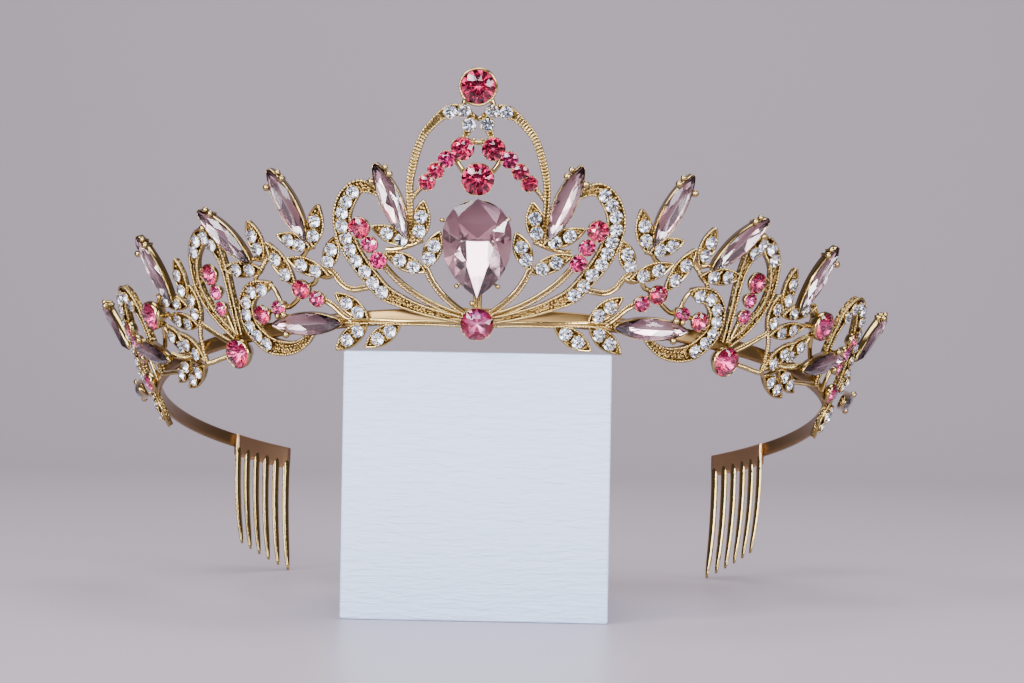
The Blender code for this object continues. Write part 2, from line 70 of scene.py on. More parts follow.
# Leaves: root angle, root height, tip angle, tip height, width
LEAVES = (
    (8.2, 12.1, 7.1, 19.1, 3.4),
    (7.4, 7.8, 5.1, 13.9, 3.3),
    (8.8, 11.8, 14.6, 15.2, 3.2),
    (7.4, 7.2, 13.1, 10.7, 3.2),
    (16.8, -0.2, 21.5, 4.6, 3.3),
    (17.0, -0.9, 23.0, -4.9, 3.4),
    (11.7, -1.4, 18.0, -4.9, 3.4),
    (23.6, 12.6, 21.8, 19.6, 3.4),
    (24.1, 12.5, 28.9, 15.5, 3.2),
    (22.2, 8.5, 19.9, 14.0, 3.2),
    (22.0, 7.6, 28.2, 11.4, 3.2),
    (32.2, 11.9, 33.2, 18.7, 3.4),
    (27.8, 6.5, 31.1, 14.6, 3.3),
    (32.8, 10.1, 40.0, 11.7, 3.2),
    (50.3, 8.2, 49.6, 16.0, 3.4),
    (49.1, 3.9, 48.4, 10.8, 3.3),
    (50.6, 7.4, 57.9, 11.4, 3.3),
    (49.6, 3.6, 56.9, 7.2, 3.3),
    (54.6, -0.4, 59.6, 6.2, 3.4),
    (51.2, -2.6, 56.2, 3.9, 3.4),
    (55.2, -1.4, 62.2, -3.9, 3.3),
    (52.0, -3.2, 59.3, -5.6, 3.3),
    (82.4, 2.2, 87.6, 7.6, 3.3),
    (82.6, -0.4, 89.2, -2.6, 3.3),
    (82.0, -0.8, 85.0, -6.9, 3.3),
)

# Long crystals: root angle, root height, tip angle, tip height, width, lift off the sheet
MARQUISES = (
    (9.5, 13.0, 13.0, 25.6, 4.2, 0.3),
    (24.2, 14.2, 27.5, 26.3, 4.2, 0.3),
    (33.9, 11.9, 40.4, 22.2, 4.2, 0.6),
    (52.9, 9.6, 55.2, 21.5, 4.2, 0.6),
    (79.4, 8.4, 84.6, 19.6, 4.2, 0.6),
    (20.4, -0.3, 32.6, 0.9, 4.3, 1.0),
    (58.8, 0.2, 69.4, 5.8, 4.2, 1.6),
    (84.4, 1.6, 94.6, 5.0, 4.2, 1.6),
)
MARQUISE_LENGTH = 15.2

# Rose stones: angle, height, radius
CENTRE_ROUNDS = ((0.0, 37.6, 3.1), (0.0, 22.6, 2.9), (0.0, -1.3, 3.0))
SIDE_ROUNDS = ((41.5, -2.8, 2.8), (60.6, 8.7, 2.8))
ROSE_STRINGS = (
    (1.9, 27.5, 2.1),
    (3.9, 25.8, 1.55),
    (5.3, 23.9, 1.5),
    (6.5, 22.1, 1.5),
    (16.2, 15.1, 2.0),
    (15.0, 12.2, 1.55),
    (14.0, 9.5, 1.6),
    (26.7, 5.9, 1.8),
    (24.4, 4.0, 1.5),
    (34.7, 2.7, 1.8),
    (31.3, 3.3, 1.5),
    (42.7, 11.4, 2.0),
    (42.5, 8.2, 1.45),
    (42.5, 5.3, 1.4),
    (74.6, 10.3, 1.8),
    (73.9, 7.4, 1.6),
    (73.3, 4.5, 1.6),
    (77.6, 0.5, 2.0),
)
# Stones of the strings that are a cooler pink than the rest, by their place in the table
PINK_ONES = (1, 5, 6, 8, 10, 12, 13, 15)

PEAR_TOP = 19.6
PEAR_TIP = 3.2
PEAR_RADIUS = 6.35
PEAR_LIFT = 0.5
# Where the pear is widest, as a share of its length from the tip
PEAR_WIDEST = 0.63

# Clear stones outside the leaves: angle, height
CLEAR_RADIUS = 1.2
CLEAR_STONES = (
    (3.3, 33.5), (1.65, 33.6), (1.1, 31.4),
    (16.4, 21.1), (17.5, 19.6), (18.3, 17.8), (18.6, 15.7), (18.3, 13.6),
    (17.9, 11.7), (17.3, 9.7), (16.2, 7.8), (15.2, 5.8), (14.0, 4.2),
    (33.5, 6.9), (35.5, 6.8), (37.1, 5.3), (37.7, 3.3), (37.7, 1.2), (36.8, -0.6), (35.4, -2.3),
    (43.2, 17.5), (41.5, 17.7), (40.5, 16.1), (44.4, 15.9),
    (67.6, 12.7), (68.7, 14.6), (70.4, 15.6), (72.2, 15.4), (73.9, 14.0),
    (75.6, 11.9), (77.4, 9.8), (79.2, 7.8), (80.8, 5.8),
)

# Flat stems between two rims: angle, height, width at each point
SCROLLS = {
    "inner_hook": (
        (11.8, 19.4, 1.0), (14.0, 21.3, 1.6), (15.7, 21.8, 2.6), (17.3, 20.3, 3.4), (18.4, 18.0, 3.4),
        (18.7, 15.6, 3.4), (18.2, 12.4, 3.4), (17.2, 9.6, 3.2), (15.7, 6.8, 3.0), (13.9, 4.1, 2.8),
        (11.4, 2.4, 2.2), (8.6, 1.0, 1.7), (5.4, -0.1, 1.4), (2.6, -0.8, 1.2),
    ),
    "lower_hook": (
        (32.2, 7.4, 1.0), (33.6, 7.2, 2.6), (35.6, 7.0, 3.2), (37.4, 5.4, 3.4), (38.0, 3.2, 3.4),
        (37.8, 0.9, 3.4), (36.8, -0.9, 3.3), (35.2, -2.6, 3.2), (33.0, -3.5, 2.8), (30.6, -3.7, 2.2),
        (28.4, -3.0, 1.6), (26.6, -1.6, 1.0),
    ),
    "tall_loop": (
        (41.6, -0.2, 1.4), (44.0, 2.9, 1.5), (45.9, 6.8, 1.6), (46.4, 10.4, 1.8), (45.7, 14.0, 2.2),
        (44.3, 16.5, 3.0), (42.4, 17.9, 3.3), (40.7, 16.9, 3.0), (40.0, 14.0, 1.8), (39.9, 10.6, 1.3),
        (40.2, 7.2, 1.2), (40.5, 3.6, 1.2), (40.8, 0.2, 1.2),
    ),
    "rear_loop": (
        (69.2, -0.4, 1.4), (67.7, 4.0, 1.5), (67.1, 9.0, 1.8), (67.7, 12.8, 3.0), (69.3, 15.2, 3.3),
        (71.3, 15.8, 3.3), (73.4, 14.6, 3.3), (75.6, 12.0, 3.2), (78.0, 9.2, 3.0), (80.4, 6.3, 2.6),
        (82.0, 3.2, 1.8), (82.6, -0.6, 1.4),
    ),
}
ARCH = (
    (0.8, 33.4, 1.2), (1.9, 33.6, 2.2), (3.0, 33.7, 2.5), (4.0, 33.2, 2.3), (5.3, 31.8, 1.9),
    (6.7, 29.7, 1.7), (7.7, 27.0, 1.7), (8.4, 24.2, 1.7), (8.8, 22.1, 1.6), (9.0, 19.5, 1.5),
    (9.0, 15.8, 1.4), (8.9, 12.2, 1.2),
)
ARCH_CURL = ((0.7, 33.2, 1.2), (1.0, 32.2, 2.2), (1.2, 31.1, 2.4), (1.4, 30.1, 1.7), (1.8, 28.8, 1.2))
# Runs of the scrolls that carry dots in place of stones
DOTTED_RUNS = (
    ((12.9, 3.2), (11.4, 2.4), (8.6, 1.0), (6.6, 0.3)),
    ((34.2, -3.1), (33.0, -3.5), (30.6, -3.7), (28.4, -3.0)),
)

# Wires: kind, radius, chart points
WIRES = (
    ("twin", 0.42, ((1.9, 0.2), (3.3, 1.3), (5.1, 3.2), (6.5, 5.4), (7.4, 7.8))),
    ("twin", 0.42, ((2.2, -0.2), (4.4, 0.6), (6.6, 1.7), (9.3, 3.6), (11.7, 6.0), (13.9, 9.2))),
    ("twin", 0.42, ((1.9, -1.7), (7.1, -1.4), (11.5, -1.2), (16.6, -0.7), (20.8, -0.3))),
    ("plain", 0.45, ((7.6, 12.4), (9.7, 11.5), (11.7, 11.1), (12.9, 11.2))),
    ("beaded", 0.5, ((6.8, 21.7), (7.9, 20.5), (8.8, 19.2))),
    ("plain", 0.4, ((1.2, 33.5), (0.5, 32.7), (-0.2, 32.1))),
    ("plain", 0.45, ((1.5, 28.9), (0.8, 28.5), (-0.2, 28.4))),
    ("plain", 0.5, ((1.9, 33.9), (1.6, 35.2), (1.2, 36.2))),
    ("plain", 0.5, ((2.9, 26.3), (2.5, 24.9), (1.8, 23.6))),
    ("plain", 0.45, ((0.35, 3.7), (0.3, 2.2), (0.3, 0.6))),
    ("plain", 0.5, ((23.6, 12.6), (24.6, 12.4), (25.3, 11.6), (26.4, 10.8))),
    ("twin", 0.4, ((22.2, 8.9), (21.2, 7.7), (20.2, 5.9), (18.7, 4.9), (16.6, 5.0), (15.0, 5.2))),
    ("plain", 0.5, ((21.2, 7.7), (22.4, 7.3), (23.9, 7.7), (24.6, 6.6), (26.6, 6.0))),
    ("twin", 0.4, ((26.7, 5.9), (24.4, 4.0), (22.6, 2.8), (20.9, 0.8), (19.6, -0.3))),
    ("plain", 0.5, ((31.3, 3.3), (29.7, 3.2), (27.8, 4.4), (26.8, 5.6))),
    ("plain", 0.5, ((31.0, 13.0), (31.6, 12.2), (32.6, 11.8), (33.8, 12.2))),
    ("beaded", 0.5, ((31.4, 11.9), (32.6, 10.9), (33.4, 9.9), (34.6, 9.0), (34.2, 7.6))),
    ("plain", 0.45, ((33.2, 7.8), (31.9, 6.8), (31.3, 4.8), (31.3, 3.3))),
    ("plain", 0.5, ((31.3, 3.3), (34.7, 2.7), (37.2, 2.6))),
    ("plain", 0.5, ((42.5, 5.0), (42.2, 2.6), (41.8, 0.0))),
    ("plain", 0.5, ((42.8, 11.6), (44.6, 11.0), (46.2, 10.4))),
    ("plain", 0.5, ((45.9, 8.8), (47.4, 9.2), (48.9, 8.6), (50.2, 8.6))),
    ("twin", 0.4, ((50.0, 8.4), (49.4, 6.0), (49.2, 4.0), (47.3, 2.1), (45.0, 0.2), (43.3, -1.0))),
    ("beaded", 0.5, ((49.2, 4.0), (50.6, 1.6), (51.3, -2.4), (50.5, -3.1), (46.6, -3.0), (43.6, -2.9))),
    ("beaded", 0.5, ((51.2, -2.6), (53.0, -1.6), (55.0, -0.8), (57.0, -0.6), (59.6, 0.2), (61.5, 1.2))),
    ("plain", 0.5, ((51.2, -2.6), (52.4, -3.4), (54.0, -2.4), (55.6, -1.4))),
    ("plain", 0.45, ((57.4, 11.2), (59.0, 10.2), (60.4, 9.0))),
    ("plain", 0.45, ((56.4, 7.2), (58.2, 7.6), (60.2, 8.2))),
    ("plain", 0.5, ((59.0, 5.4), (60.2, 6.6), (61.4, 4.6), (63.0, 3.0))),
    ("plain", 0.5, ((62.6, 10.0), (64.8, 10.6), (67.3, 10.6))),
    ("plain", 0.5, ((73.3, 4.2), (73.4, 1.8), (73.8, -0.6))),
    ("plain", 0.5, ((82.4, -0.4), (83.4, 0.8), (84.8, 1.8))),
    ("twin", 0.4, ((60.0, -2.4), (64.6, -1.4), (69.4, -0.4))),
)


# Places on the tiara


def unit(vectors):
    """Vectors brought to length one."""
    return vectors / np.linalg.norm(vectors, axis=-1, keepdims=True)


def lean(vectors):
    """Vectors turned about X so that the band's plane sinks towards the back by TILT."""
    x, y, z = np.moveaxis(vectors, -1, 0)
    return np.stack([x, y * cos(TILT) + z * sin(TILT), z * cos(TILT) - y * sin(TILT)], -1)


def sheet(angle, height):
    """Points of the sheet at chart places, and its directions there: along the ring, up the sheet, out of it.

    Before the lean, a point's distance from the ring's axis is RING_RADIUS + FLARE * height.
    """
    turn = np.radians(np.asarray(angle, float))
    height = np.asarray(height, float)
    zero, one = np.zeros_like(turn), np.ones_like(turn)
    radial = np.stack([np.sin(turn), -np.cos(turn), zero], -1)
    along = np.stack([np.cos(turn), np.sin(turn), zero], -1)
    rise = unit(FLARE * radial + np.stack([zero, zero, one], -1))
    reach = radial * (RING_RADIUS + FLARE * height)[..., None]
    place = reach + np.stack([zero, RING_RADIUS * one, height], -1)
    front = np.array([0, RING_CENTRE_Y - RING_RADIUS, FRONT_HEIGHT])
    return lean(place) + front, lean(along), lean(rise), lean(np.cross(along, rise))


def settle(points, place):
    """Points given in a piece's own axes carried to its place on the tiara."""
    origin, across, axis, out = place
    return origin + points[..., :1] * across + points[..., 1:2] * axis + points[..., 2:3] * out


def place_at(angle, height, lift=0.0):
    """The place at a chart place, lifted off the sheet."""
    origin, along, rise, out = sheet(angle, height)
    return origin + out * lift, along, rise, out


def place_between(root, tip, lift=0.0):
    """The place midway between two chart places, with y towards the tip, and the distance between them."""
    start, end = (sheet(*spot)[0] + sheet(*spot)[3] * lift for spot in (root, tip))
    out = sheet((root[0] + tip[0]) / 2, (root[1] + tip[1]) / 2)[3]
    axis = unit(end - start)
    across = unit(np.cross(axis, out))
    return ((start + end) / 2, across, axis, np.cross(across, axis)), np.linalg.norm(end - start)


def raised(place, lift):
    """A place moved outwards."""
    return place[0] + place[3] * lift, *place[1:]


# Paths on the sheet

PATH_DETAIL = 24


def smooth_path(points, step):
    """Rows of a Catmull-Rom curve through rows of points that start with a chart place, an equal step apart.

    Also gives the distance along the curve at each row.
    """
    rows = np.asarray(points, float)
    rows = np.vstack([rows[:1], rows, rows[-1:]])
    t = np.linspace(0, 1, PATH_DETAIL, endpoint=False)[:, None]
    bends = [
        0.5 * (2 * b + (c - a) * t + (2 * a - 5 * b + 4 * c - d) * t**2 + (3 * b - a - 3 * c + d) * t**3)
        for a, b, c, d in zip(rows, rows[1:], rows[2:], rows[3:])
    ]
    fine = np.vstack([*bends, rows[-1:]])
    steps = np.linalg.norm(np.diff(sheet(fine[:, 0], fine[:, 1])[0], axis=0), axis=1)
    distance = np.concatenate([[0], np.cumsum(steps)])
    at = np.linspace(0, distance[-1], max(4, round(distance[-1] / step)) + 1)
    return np.stack([np.interp(at, distance, column) for column in fine.T], -1), at


def rail(path, offset=0.0, lift=0.0):
    """A line beside a path on the sheet: its points, and the directions to its right and outwards."""
    points, _, _, out = sheet(path[:, 0], path[:, 1])
    across = unit(np.cross(np.gradient(points, axis=0), out))
    offset, lift = (np.broadcast_to(value, len(points))[:, None] for value in (offset, lift))
    return points + across * offset + out * lift, across, out


DIP_DEPTH = 1.25
DIP_INSET = 0.2
DIP_SLOPE = 0.6


def dip(path):
    """How far off the sheet a wire runs, so that it passes behind the rose stones.

    It is -DIP_DEPTH * s * s * (3 - 2 * s), where s goes from 0 to 1 over DIP_SLOPE, from DIP_INSET within
    a stone's edge inwards.
    """
    points = sheet(path[:, 0], path[:, 1])[0]
    sink = np.zeros(len(points))
    for angle, height, radius in ROSE_STRINGS + SIDE_ROUNDS + CENTRE_ROUNDS:
        away = np.linalg.norm(points - sheet(angle, height)[0], axis=1)
        share = np.clip((radius - DIP_INSET - away) / DIP_SLOPE, 0, 1)
        sink = np.maximum(sink, DIP_DEPTH * share**2 * (3 - 2 * share))
    return -sink


# Surfaces


def outwards(points, faces):
    """The points, and the faces turned so that they look out of the solid that they close.

    The sum of a * (b x c) over the faces' triangles has the sign of the volume that they enclose.
    """
    volume = 0.0
    for group in faces:
        a = points[group[:, 0]]
        for k in range(1, group.shape[1] - 1):
            volume += np.einsum("ij,ij->", a, np.cross(points[group[:, k]], points[group[:, k + 1]]))
    return points, [group[:, ::-1] if volume < 0 else group for group in faces]


def skin(rows):
    """A closed skin over rows of points: each row is a loop, and each end is closed by a fan of faces."""
    count, around = rows.shape[:2]
    points = np.vstack([rows.reshape(-1, 3), rows[0].mean(0), rows[-1].mean(0)])
    index = np.arange(count * around).reshape(count, around)
    after = np.roll(index, -1, 1)
    quads = np.stack([index[:-1], after[:-1], after[1:], index[1:]], -1).reshape(-1, 4)
    first = np.stack([after[0], index[0], np.full(around, len(points) - 2)], -1)
    last = np.stack([index[-1], after[-1], np.full(around, len(points) - 1)], -1)
    return outwards(points, [quads, first, last])


def loop_rows(line, across, out, width, thick):
    """Rows of loops round a line: each corner's distance to the line's right, and its distance outwards."""
    return line[:, None] + across[:, None] * width[..., None] + out[:, None] * thick[..., None]


def round_wire(line, across, out, radius, sides=8):
    """A round wire along a line: across * r * cos + out * r * sin, with r given at each point."""
    radius = np.broadcast_to(radius, len(line))[:, None]
    turn = np.linspace(0, 2 * pi, sides, endpoint=False)[None]
    return skin(loop_rows(line, across, out, radius * np.cos(turn), radius * np.sin(turn)))


def milgrain(distance, radius, pitch=BEAD_PITCH):
    """Radius of a wire of touching beads along it: r * (n + (1 - n) * sqrt|sin|), where n is BEAD_NECK."""
    return radius * (BEAD_NECK + (1 - BEAD_NECK) * np.sqrt(np.abs(np.sin(pi * distance / pitch))))


def turned(profile, sides, place):
    """A solid of revolution about the place's outward axis: radius and height of each ring of its profile."""
    turn = np.linspace(0, 2 * pi, sides, endpoint=False)
    radius, height = np.asarray(profile, float).T
    ring = np.stack([radius[:, None] * np.cos(turn), radius[:, None] * np.sin(turn)], -1)
    rows = np.dstack([ring, np.broadcast_to(height[:, None], ring.shape[:2])])
    return skin(settle(rows, place))


def ball(centre, radius, place):
    """A small round bead: rings of radius r * sin and height -r * cos from pole to pole."""
    slope = np.linspace(0, pi, 7)[1:-1]
    profile = np.stack([radius * np.sin(slope), -radius * np.cos(slope)], -1)
    origin, across, axis, out = place
    spot = origin + across * centre[0] + axis * centre[1] + out * centre[2]
    return turned(profile, 8, (spot, across, axis, out))


def add_piece(name, parts, materials, mirrored=True, smooth=True, nodes=()):
    """One object from several skins in millimetres, and their mirror image.

    Each skin is its points and its groups of faces, with each group's material number if it isn't the first.
    """
    points, corners, starts, slots = [], [], [], []
    offset, corner = 0, 0
    for vertices, groups, *numbers in parts:
        numbers = numbers[0] if numbers else [0] * len(groups)
        for side in (1, -1) if mirrored else (1,):
            points.append(vertices * (side, 1, 1))
            for group, number in zip(groups, numbers):
                faces = (group if side > 0 else group[:, ::-1]) + offset
                corners.append(faces.ravel())
                starts.append(corner + np.arange(len(faces)) * faces.shape[1])
                slots.append(np.full(len(faces), number))
                corner += faces.size
            offset += len(vertices)
    points, corners, starts, slots = (np.concatenate(rows) for rows in (points, corners, starts, slots))
    mesh = bpy.data.meshes.new(name)
    mesh.vertices.add(len(points))
    mesh.vertices.foreach_set("co", (points * MM).ravel())
    mesh.loops.add(len(corners))
    mesh.loops.foreach_set("vertex_index", corners)
    mesh.polygons.add(len(starts))
    mesh.polygons.foreach_set("loop_start", starts)
    mesh.polygons.foreach_set("material_index", slots)
    mesh.polygons.foreach_set("use_smooth", np.full(len(starts), smooth))
    for finish in materials:
        mesh.materials.append(finish)
    mesh.update(calc_edges=True)
    mesh.validate()
    made = bpy.data.objects.new(name, mesh)
    bpy.context.scene.collection.objects.link(made)
    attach(made, "root")
    if nodes:
        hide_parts(*nodes)


# Materials


def colour(code):
    """A screen colour such as D9B877 as linear red, green, blue and alpha."""
    parts = [int(code[k : k + 2], 16) / 255 for k in (0, 2, 4)]
    return (*[c / 12.92 if c <= 0.04045 else ((c + 0.055) / 1.055) ** 2.4 for c in parts], 1)


def add_node(tree, kind, settings=(), links=()):
    """A node with its sockets set, and links from (node, output) to its inputs."""
    made = tree.nodes.new(kind)
    for key, value in dict(settings).items():
        made.inputs[key].default_value = value
    for key, (source, output) in dict(links).items():
        tree.links.new(source.outputs[output], made.inputs[key])
    return made


def material(name, settings):
    """A material with its shader's sockets set: the material, its tree and the shader."""
    made = bpy.data.materials.new(name)
    made.use_nodes = True
    shader = made.node_tree.nodes["Principled BSDF"]
    for key, value in settings.items():
        shader.inputs[key].default_value = value
    return made, made.node_tree, shader


def add_bump(tree, shader, height, output, strength, depth):
    """Fine relief on a material, of a given depth in millimetres."""
    bump = add_node(
        tree, "ShaderNodeBump", {"Strength": strength, "Distance": depth * MM}, {"Height": (height, output)}
    )
    tree.links.new(bump.outputs["Normal"], shader.inputs["Normal"])


def champagne_gold(name, code, roughness, grain, depth):
    """Plated champagne gold: pale yellow metal that mirrors softly, its grain breaking up the highlights."""
    made, tree, shader = material(name, {"Base Color": colour(code), "Metallic": 1.0, "Roughness": roughness})
    spot = add_node(tree, "ShaderNodeTexCoord")
    noise = add_node(
        tree, "ShaderNodeTexNoise", {"Scale": 1 / (grain * MM), "Detail": 2.0}, {"Vector": (spot, "Object")}
    )
    add_bump(tree, shader, noise, "Fac", strength=0.6, depth=depth)
    return made


def stippled_gold_painted_shade():
    """Gold of the fields between the rims: punched all over with small dimples that glint one by one."""
    # The dimples are real, but the darker colour is painted shade, for the shade that falls in the fields
    # between the rims
    made, tree, shader = material(
        "stippled_gold_painted_shade", {"Base Color": colour("8F7546"), "Metallic": 1.0, "Roughness": 0.26}
    )
    spot = add_node(tree, "ShaderNodeTexCoord")
    # A dimple every 0.5 mm, as coarse as they need to be to show
    cells = add_node(tree, "ShaderNodeTexVoronoi", {"Scale": 1 / (0.5 * MM)}, {"Vector": (spot, "Object")})
    add_bump(tree, shader, cells, "Distance", strength=1.0, depth=0.35)
    return made


def cut_glass(name, glass, foils, roughness):
    """Foil-backed cut glass: a clear crown that bends light, over mirror foil painted in three tones of light
    and shade.
    """
    settings = {"Base Color": colour(glass), "Roughness": 0.0, "Transmission Weight": 1.0, "IOR": 1.58}
    crown, _, _ = material(name + "_glass", settings)
    backs = [
        material(f"{name}_foil_{tone}", {"Base Color": colour(code), "Metallic": 1.0, "Roughness": rough})[0]
        for tone, code, rough in zip(("middle", "pale", "deep"), foils, roughness)
    ]
    return [crown, *backs]


def white_embossed_card():
    """Paper card with level creases pressed into it: a matt white card, painted a dim cool blue-grey all over
    as painted shade and the cool cast of the light on it.

    The creases are as coarse as they need to be to show.
    """
    made, tree, shader = material("white_embossed_card", {"Base Color": colour("B0C1E0"), "Roughness": 0.55})
    spot = add_node(tree, "ShaderNodeTexCoord")
    # Creases a millimetre along x, y and z: each is about 5 mm long and 0.9 mm high
    rate = (0.2 / MM, 0.2 / MM, 1.1 / MM)
    stretch = add_node(tree, "ShaderNodeMapping", {"Scale": rate}, {"Vector": (spot, "Object")})
    creases = add_node(
        tree, "ShaderNodeTexNoise", {"Scale": 1.0, "Detail": 3.0, "Distortion": 0.8}, {"Vector": (stretch, 0)}
    )
    add_bump(tree, shader, creases, "Fac", strength=0.8, depth=0.5)
    return made


# The castings are bright, with a grain 0.9 mm wide, as coarse as it needs to be to show
gold = champagne_gold("champagne_gold", "AC9461", roughness=0.13, grain=0.9, depth=0.05)
# The rolled strip of the band is the same gold, painted browner and darker for the dark room it mirrors, and
# duller, with one broad soft sheen along it
band_gold_painted_shade = champagne_gold("rolled_band_gold_painted_shade", "80653F", roughness=0.34, grain=2.5, depth=0.03)
# The combs' pressed spines are warmer and paler than the strip, and as dull
comb_gold = champagne_gold("pressed_comb_gold", "C69C78", roughness=0.34, grain=2.5, depth=0.03)
stippled_painted_shade = stippled_gold_painted_shade()
# Smooth foil mirrors the lamps in small bright flashes, and rougher foil gives an even colour
# Of each stone's three foils, middle, pale and deep, the pale is painted light and the deep is painted shade
rose = cut_glass("rose", "FFF2F6", ("BC4072", "F08CBA", "74103A"), (0.16, 0.3, 0.08))
pink = cut_glass("pink", "FFF2F6", ("BE4686", "F096CC", "7A1A4E"), (0.16, 0.3, 0.08))
blush = cut_glass("blush", "FFF8FA", ("D8BAC0", "FFF0F4", "A98B91"), (0.08, 0.2, 0.35))
clear = cut_glass("clear", "FFFFFF", ("F2F5FF", "FFFFFF", "8C90A0"), (0.06, 0.16, 0.06))
card = white_embossed_card()


# Outlines of stones: x and y for a turn t round the outline, from 0 to 1, that starts at +x


def round_outline(t):
    """A circle of radius one."""
    return np.cos(2 * pi * t), np.sin(2 * pi * t)


def tip_to_tip(t):
    """For a turn t round an outline from +x: its share of the way up from the lower tip, and its side."""
    turn = (t + 0.25) % 1
    return 1 - np.abs(2 * turn - 1), np.where(turn < 0.5, 1, -1)


def marquise_outline(width, length):
    """Pointed oval with its tips on the y axis: half width * sin(pi s) ** 0.68, with s from tip to tip."""

    def outline(t):
        s, side = tip_to_tip(t)
        return side * width / 2 * np.abs(np.sin(pi * s)) ** 0.68, length * (s - 0.5)

    return outline


def pear_outline(length, radius):
    """Pear with its tip at -y, where s runs from tip to top and w is PEAR_WIDEST.

    Up to its widest place the half width is radius * (1 - (1 - s / w) ** 2.7), and above it a quarter of an
    ellipse.
    """

    def outline(t):
        s, side = tip_to_tip(t)
        low = 1 - np.abs(1 - np.minimum(s / PEAR_WIDEST, 1)) ** 2.7
        high = np.sqrt(np.maximum(1 - (np.maximum(s - PEAR_WIDEST, 0) / (1 - PEAR_WIDEST)) ** 2, 0))
        return side * radius * np.minimum(low, high), length * (s - 0.5)

    return outline


# Stones

# Letters of the materials of a stone, in their order in its list: glass, and middle, pale and deep foil
# Pale foil is painted light and deep foil is painted shade, laid on facets of what is one foil
TONES = "GMPD"
# Kinds of facet of the crown and of the back: table or culet, slivers round it, mains, and two halves by each
CROWN_TONES = "GGGGG"
# The back is painted facet by facet: painted glints on the slivers and one half of each pair, painted shade
# on the other half
FOIL_PAINTED_SHADING = "MPMDP"

# Depth of a round stone below its girdle, as a share of its radius
PAVILION = 0.84
# Where the mains break into halves: a share of the crown's or the back's height, and how much it bulges
BREAK = 0.56
BULGE = 0.03


def material_numbers(letters):
    """Places in a stone's list of materials of the tones that letters stand for."""
    return [TONES.index(letter) for letter in letters]


def cut_stone(outline, mains, table, crown, pavilion, keel=(0.04, 0.04), centre=0.0, start=0.0):
    """A cut stone on its girdle plane: table, star, main and girdle facets, over a back of mains and halves.

    Rings of points lie on the outline, scaled about a centre on the y axis: the table and the culet at the
    main angles, the middle rings halfway between them, and the girdle at both. Gives the points, the groups
    of faces turned outwards, and their materials.
    """

    def ring(count, shift, scale, height):
        x, y = outline((np.arange(count) + shift) / count + start)
        return np.stack([x * scale[0], centre + (y - centre) * scale[1], np.full(count, height)], -1)

    table, keel = np.array(table), np.array(keel)
    rings = [
        ring(mains, 0, table, crown),
        ring(mains, 0.5, (table + 1) / 2 + BULGE, crown * BREAK),
        ring(2 * mains, 0, (1, 1), 0.0),
        ring(mains, 0.5, (keel + 1) / 2, -pavilion * BREAK),
        ring(mains, 0, keel, -pavilion),
    ]
    points = np.vstack(rings)
    top, upper, girdle, lower, foot = (k * mains for k in (0, 1, 2, 4, 5))
    k = np.arange(mains)
    ahead, back, even = (k + 1) % mains, (k - 1) % mains, girdle + 2 * k
    groups = []
    for tip, middle, up in ((top, upper, True), (foot, lower, False)):
        facets = [
            (tip + k)[None],
            np.stack([tip + k, middle + k, tip + ahead], -1),
            np.stack([tip + k, middle + back, even, middle + k], -1),
            np.stack([middle + k, even, even + 1], -1),
            np.stack([middle + k, even + 1, girdle + 2 * ahead], -1),
        ]
        for facet in facets:
            a, b, c = (points[facet[:, n]] for n in (0, 1, 2))
            rising = np.cross(b - a, c - b)[:, 2] > 0
            groups.append(np.where((rising == up)[:, None], facet, facet[:, ::-1]))
    return points, groups, material_numbers(CROWN_TONES + FOIL_PAINTED_SHADING)


def with_painted_shading(stone, tones):
    """A stone with painted light and shade on its back, facet by facet: a row for each kind of facet, round
    from its upper end.
    """
    points, groups, numbers = stone
    kinds = len(CROWN_TONES)
    backs = [np.array(material_numbers(row[: len(group)])) for row, group in zip(tones, groups[kinds:])]
    return points, groups, numbers[:kinds] + backs


def set_stone(stone, place, size=1.0, spin=0.0, tip=(0.0, 0.0)):
    """A cut stone carried to its place, spun about its own axis and tipped a little."""
    points, groups, numbers = stone
    turn = Matrix.Rotation(tip[0], 3, "X") @ Matrix.Rotation(tip[1], 3, "Y") @ Matrix.Rotation(spin, 3, "Z")
    return settle(points * size @ np.array(turn).T, place), groups, numbers


random = np.random.default_rng(7)
LOOSE_TIP = 0.07


def loose_set(stone, place, size):
    """A small stone as it sits in its setting: turned at random and tipped by a few degrees."""
    return set_stone(stone, place, size, random.uniform(0, 2 * pi), random.uniform(-LOOSE_TIP, LOOSE_TIP, 2))


# Settings


def grains(place, radius, count, size, height, turn):
    """Small round beads of metal about a stone's girdle that hold it down."""
    angles = turn + 2 * pi * np.arange(count) / count
    return [ball((radius * cos(a), radius * sin(a), height), size, place) for a in angles]


def cup(place, radius, foot, girdle, sides, lip, over):
    """The setting of a round stone: a cup with a thin lip beside the girdle, close under the pavilion inside.

    The lip is the wall's thickness, and over is how far it stands above the girdle.
    """
    depth = radius * PAVILION
    # Up the outside, over the lip and down the inside
    profile = [
        (radius * 0.4, foot),
        (radius * 0.62, foot + 0.12),
        (radius + lip, girdle - radius * 0.35),
        (radius + lip, girdle + over),
        (radius + 0.02, girdle + over),
        (radius + 0.02, girdle - 0.06),
        (radius * 0.52, girdle - depth * 0.62 - 0.06),
        (radius * 0.1, girdle - depth * 0.98 - 0.05),
    ]
    return turned(profile, sides, place)


def tray(outline, wall, place, count):
    """The setting of a long stone: a shallow tray, its wall as distances outside the outline and heights."""
    line = np.stack([*outline((np.arange(count) + 0.5) / count), np.zeros(count)], -1)
    heading = unit(np.roll(line, -1, 0) - np.roll(line, 1, 0))
    side = np.cross(heading, (0, 0, 1))
    wall = np.array(wall)[:, None]
    return skin(settle(line + side * wall[..., :1] + np.array([0, 0, 1.0]) * wall[..., 1:], place))


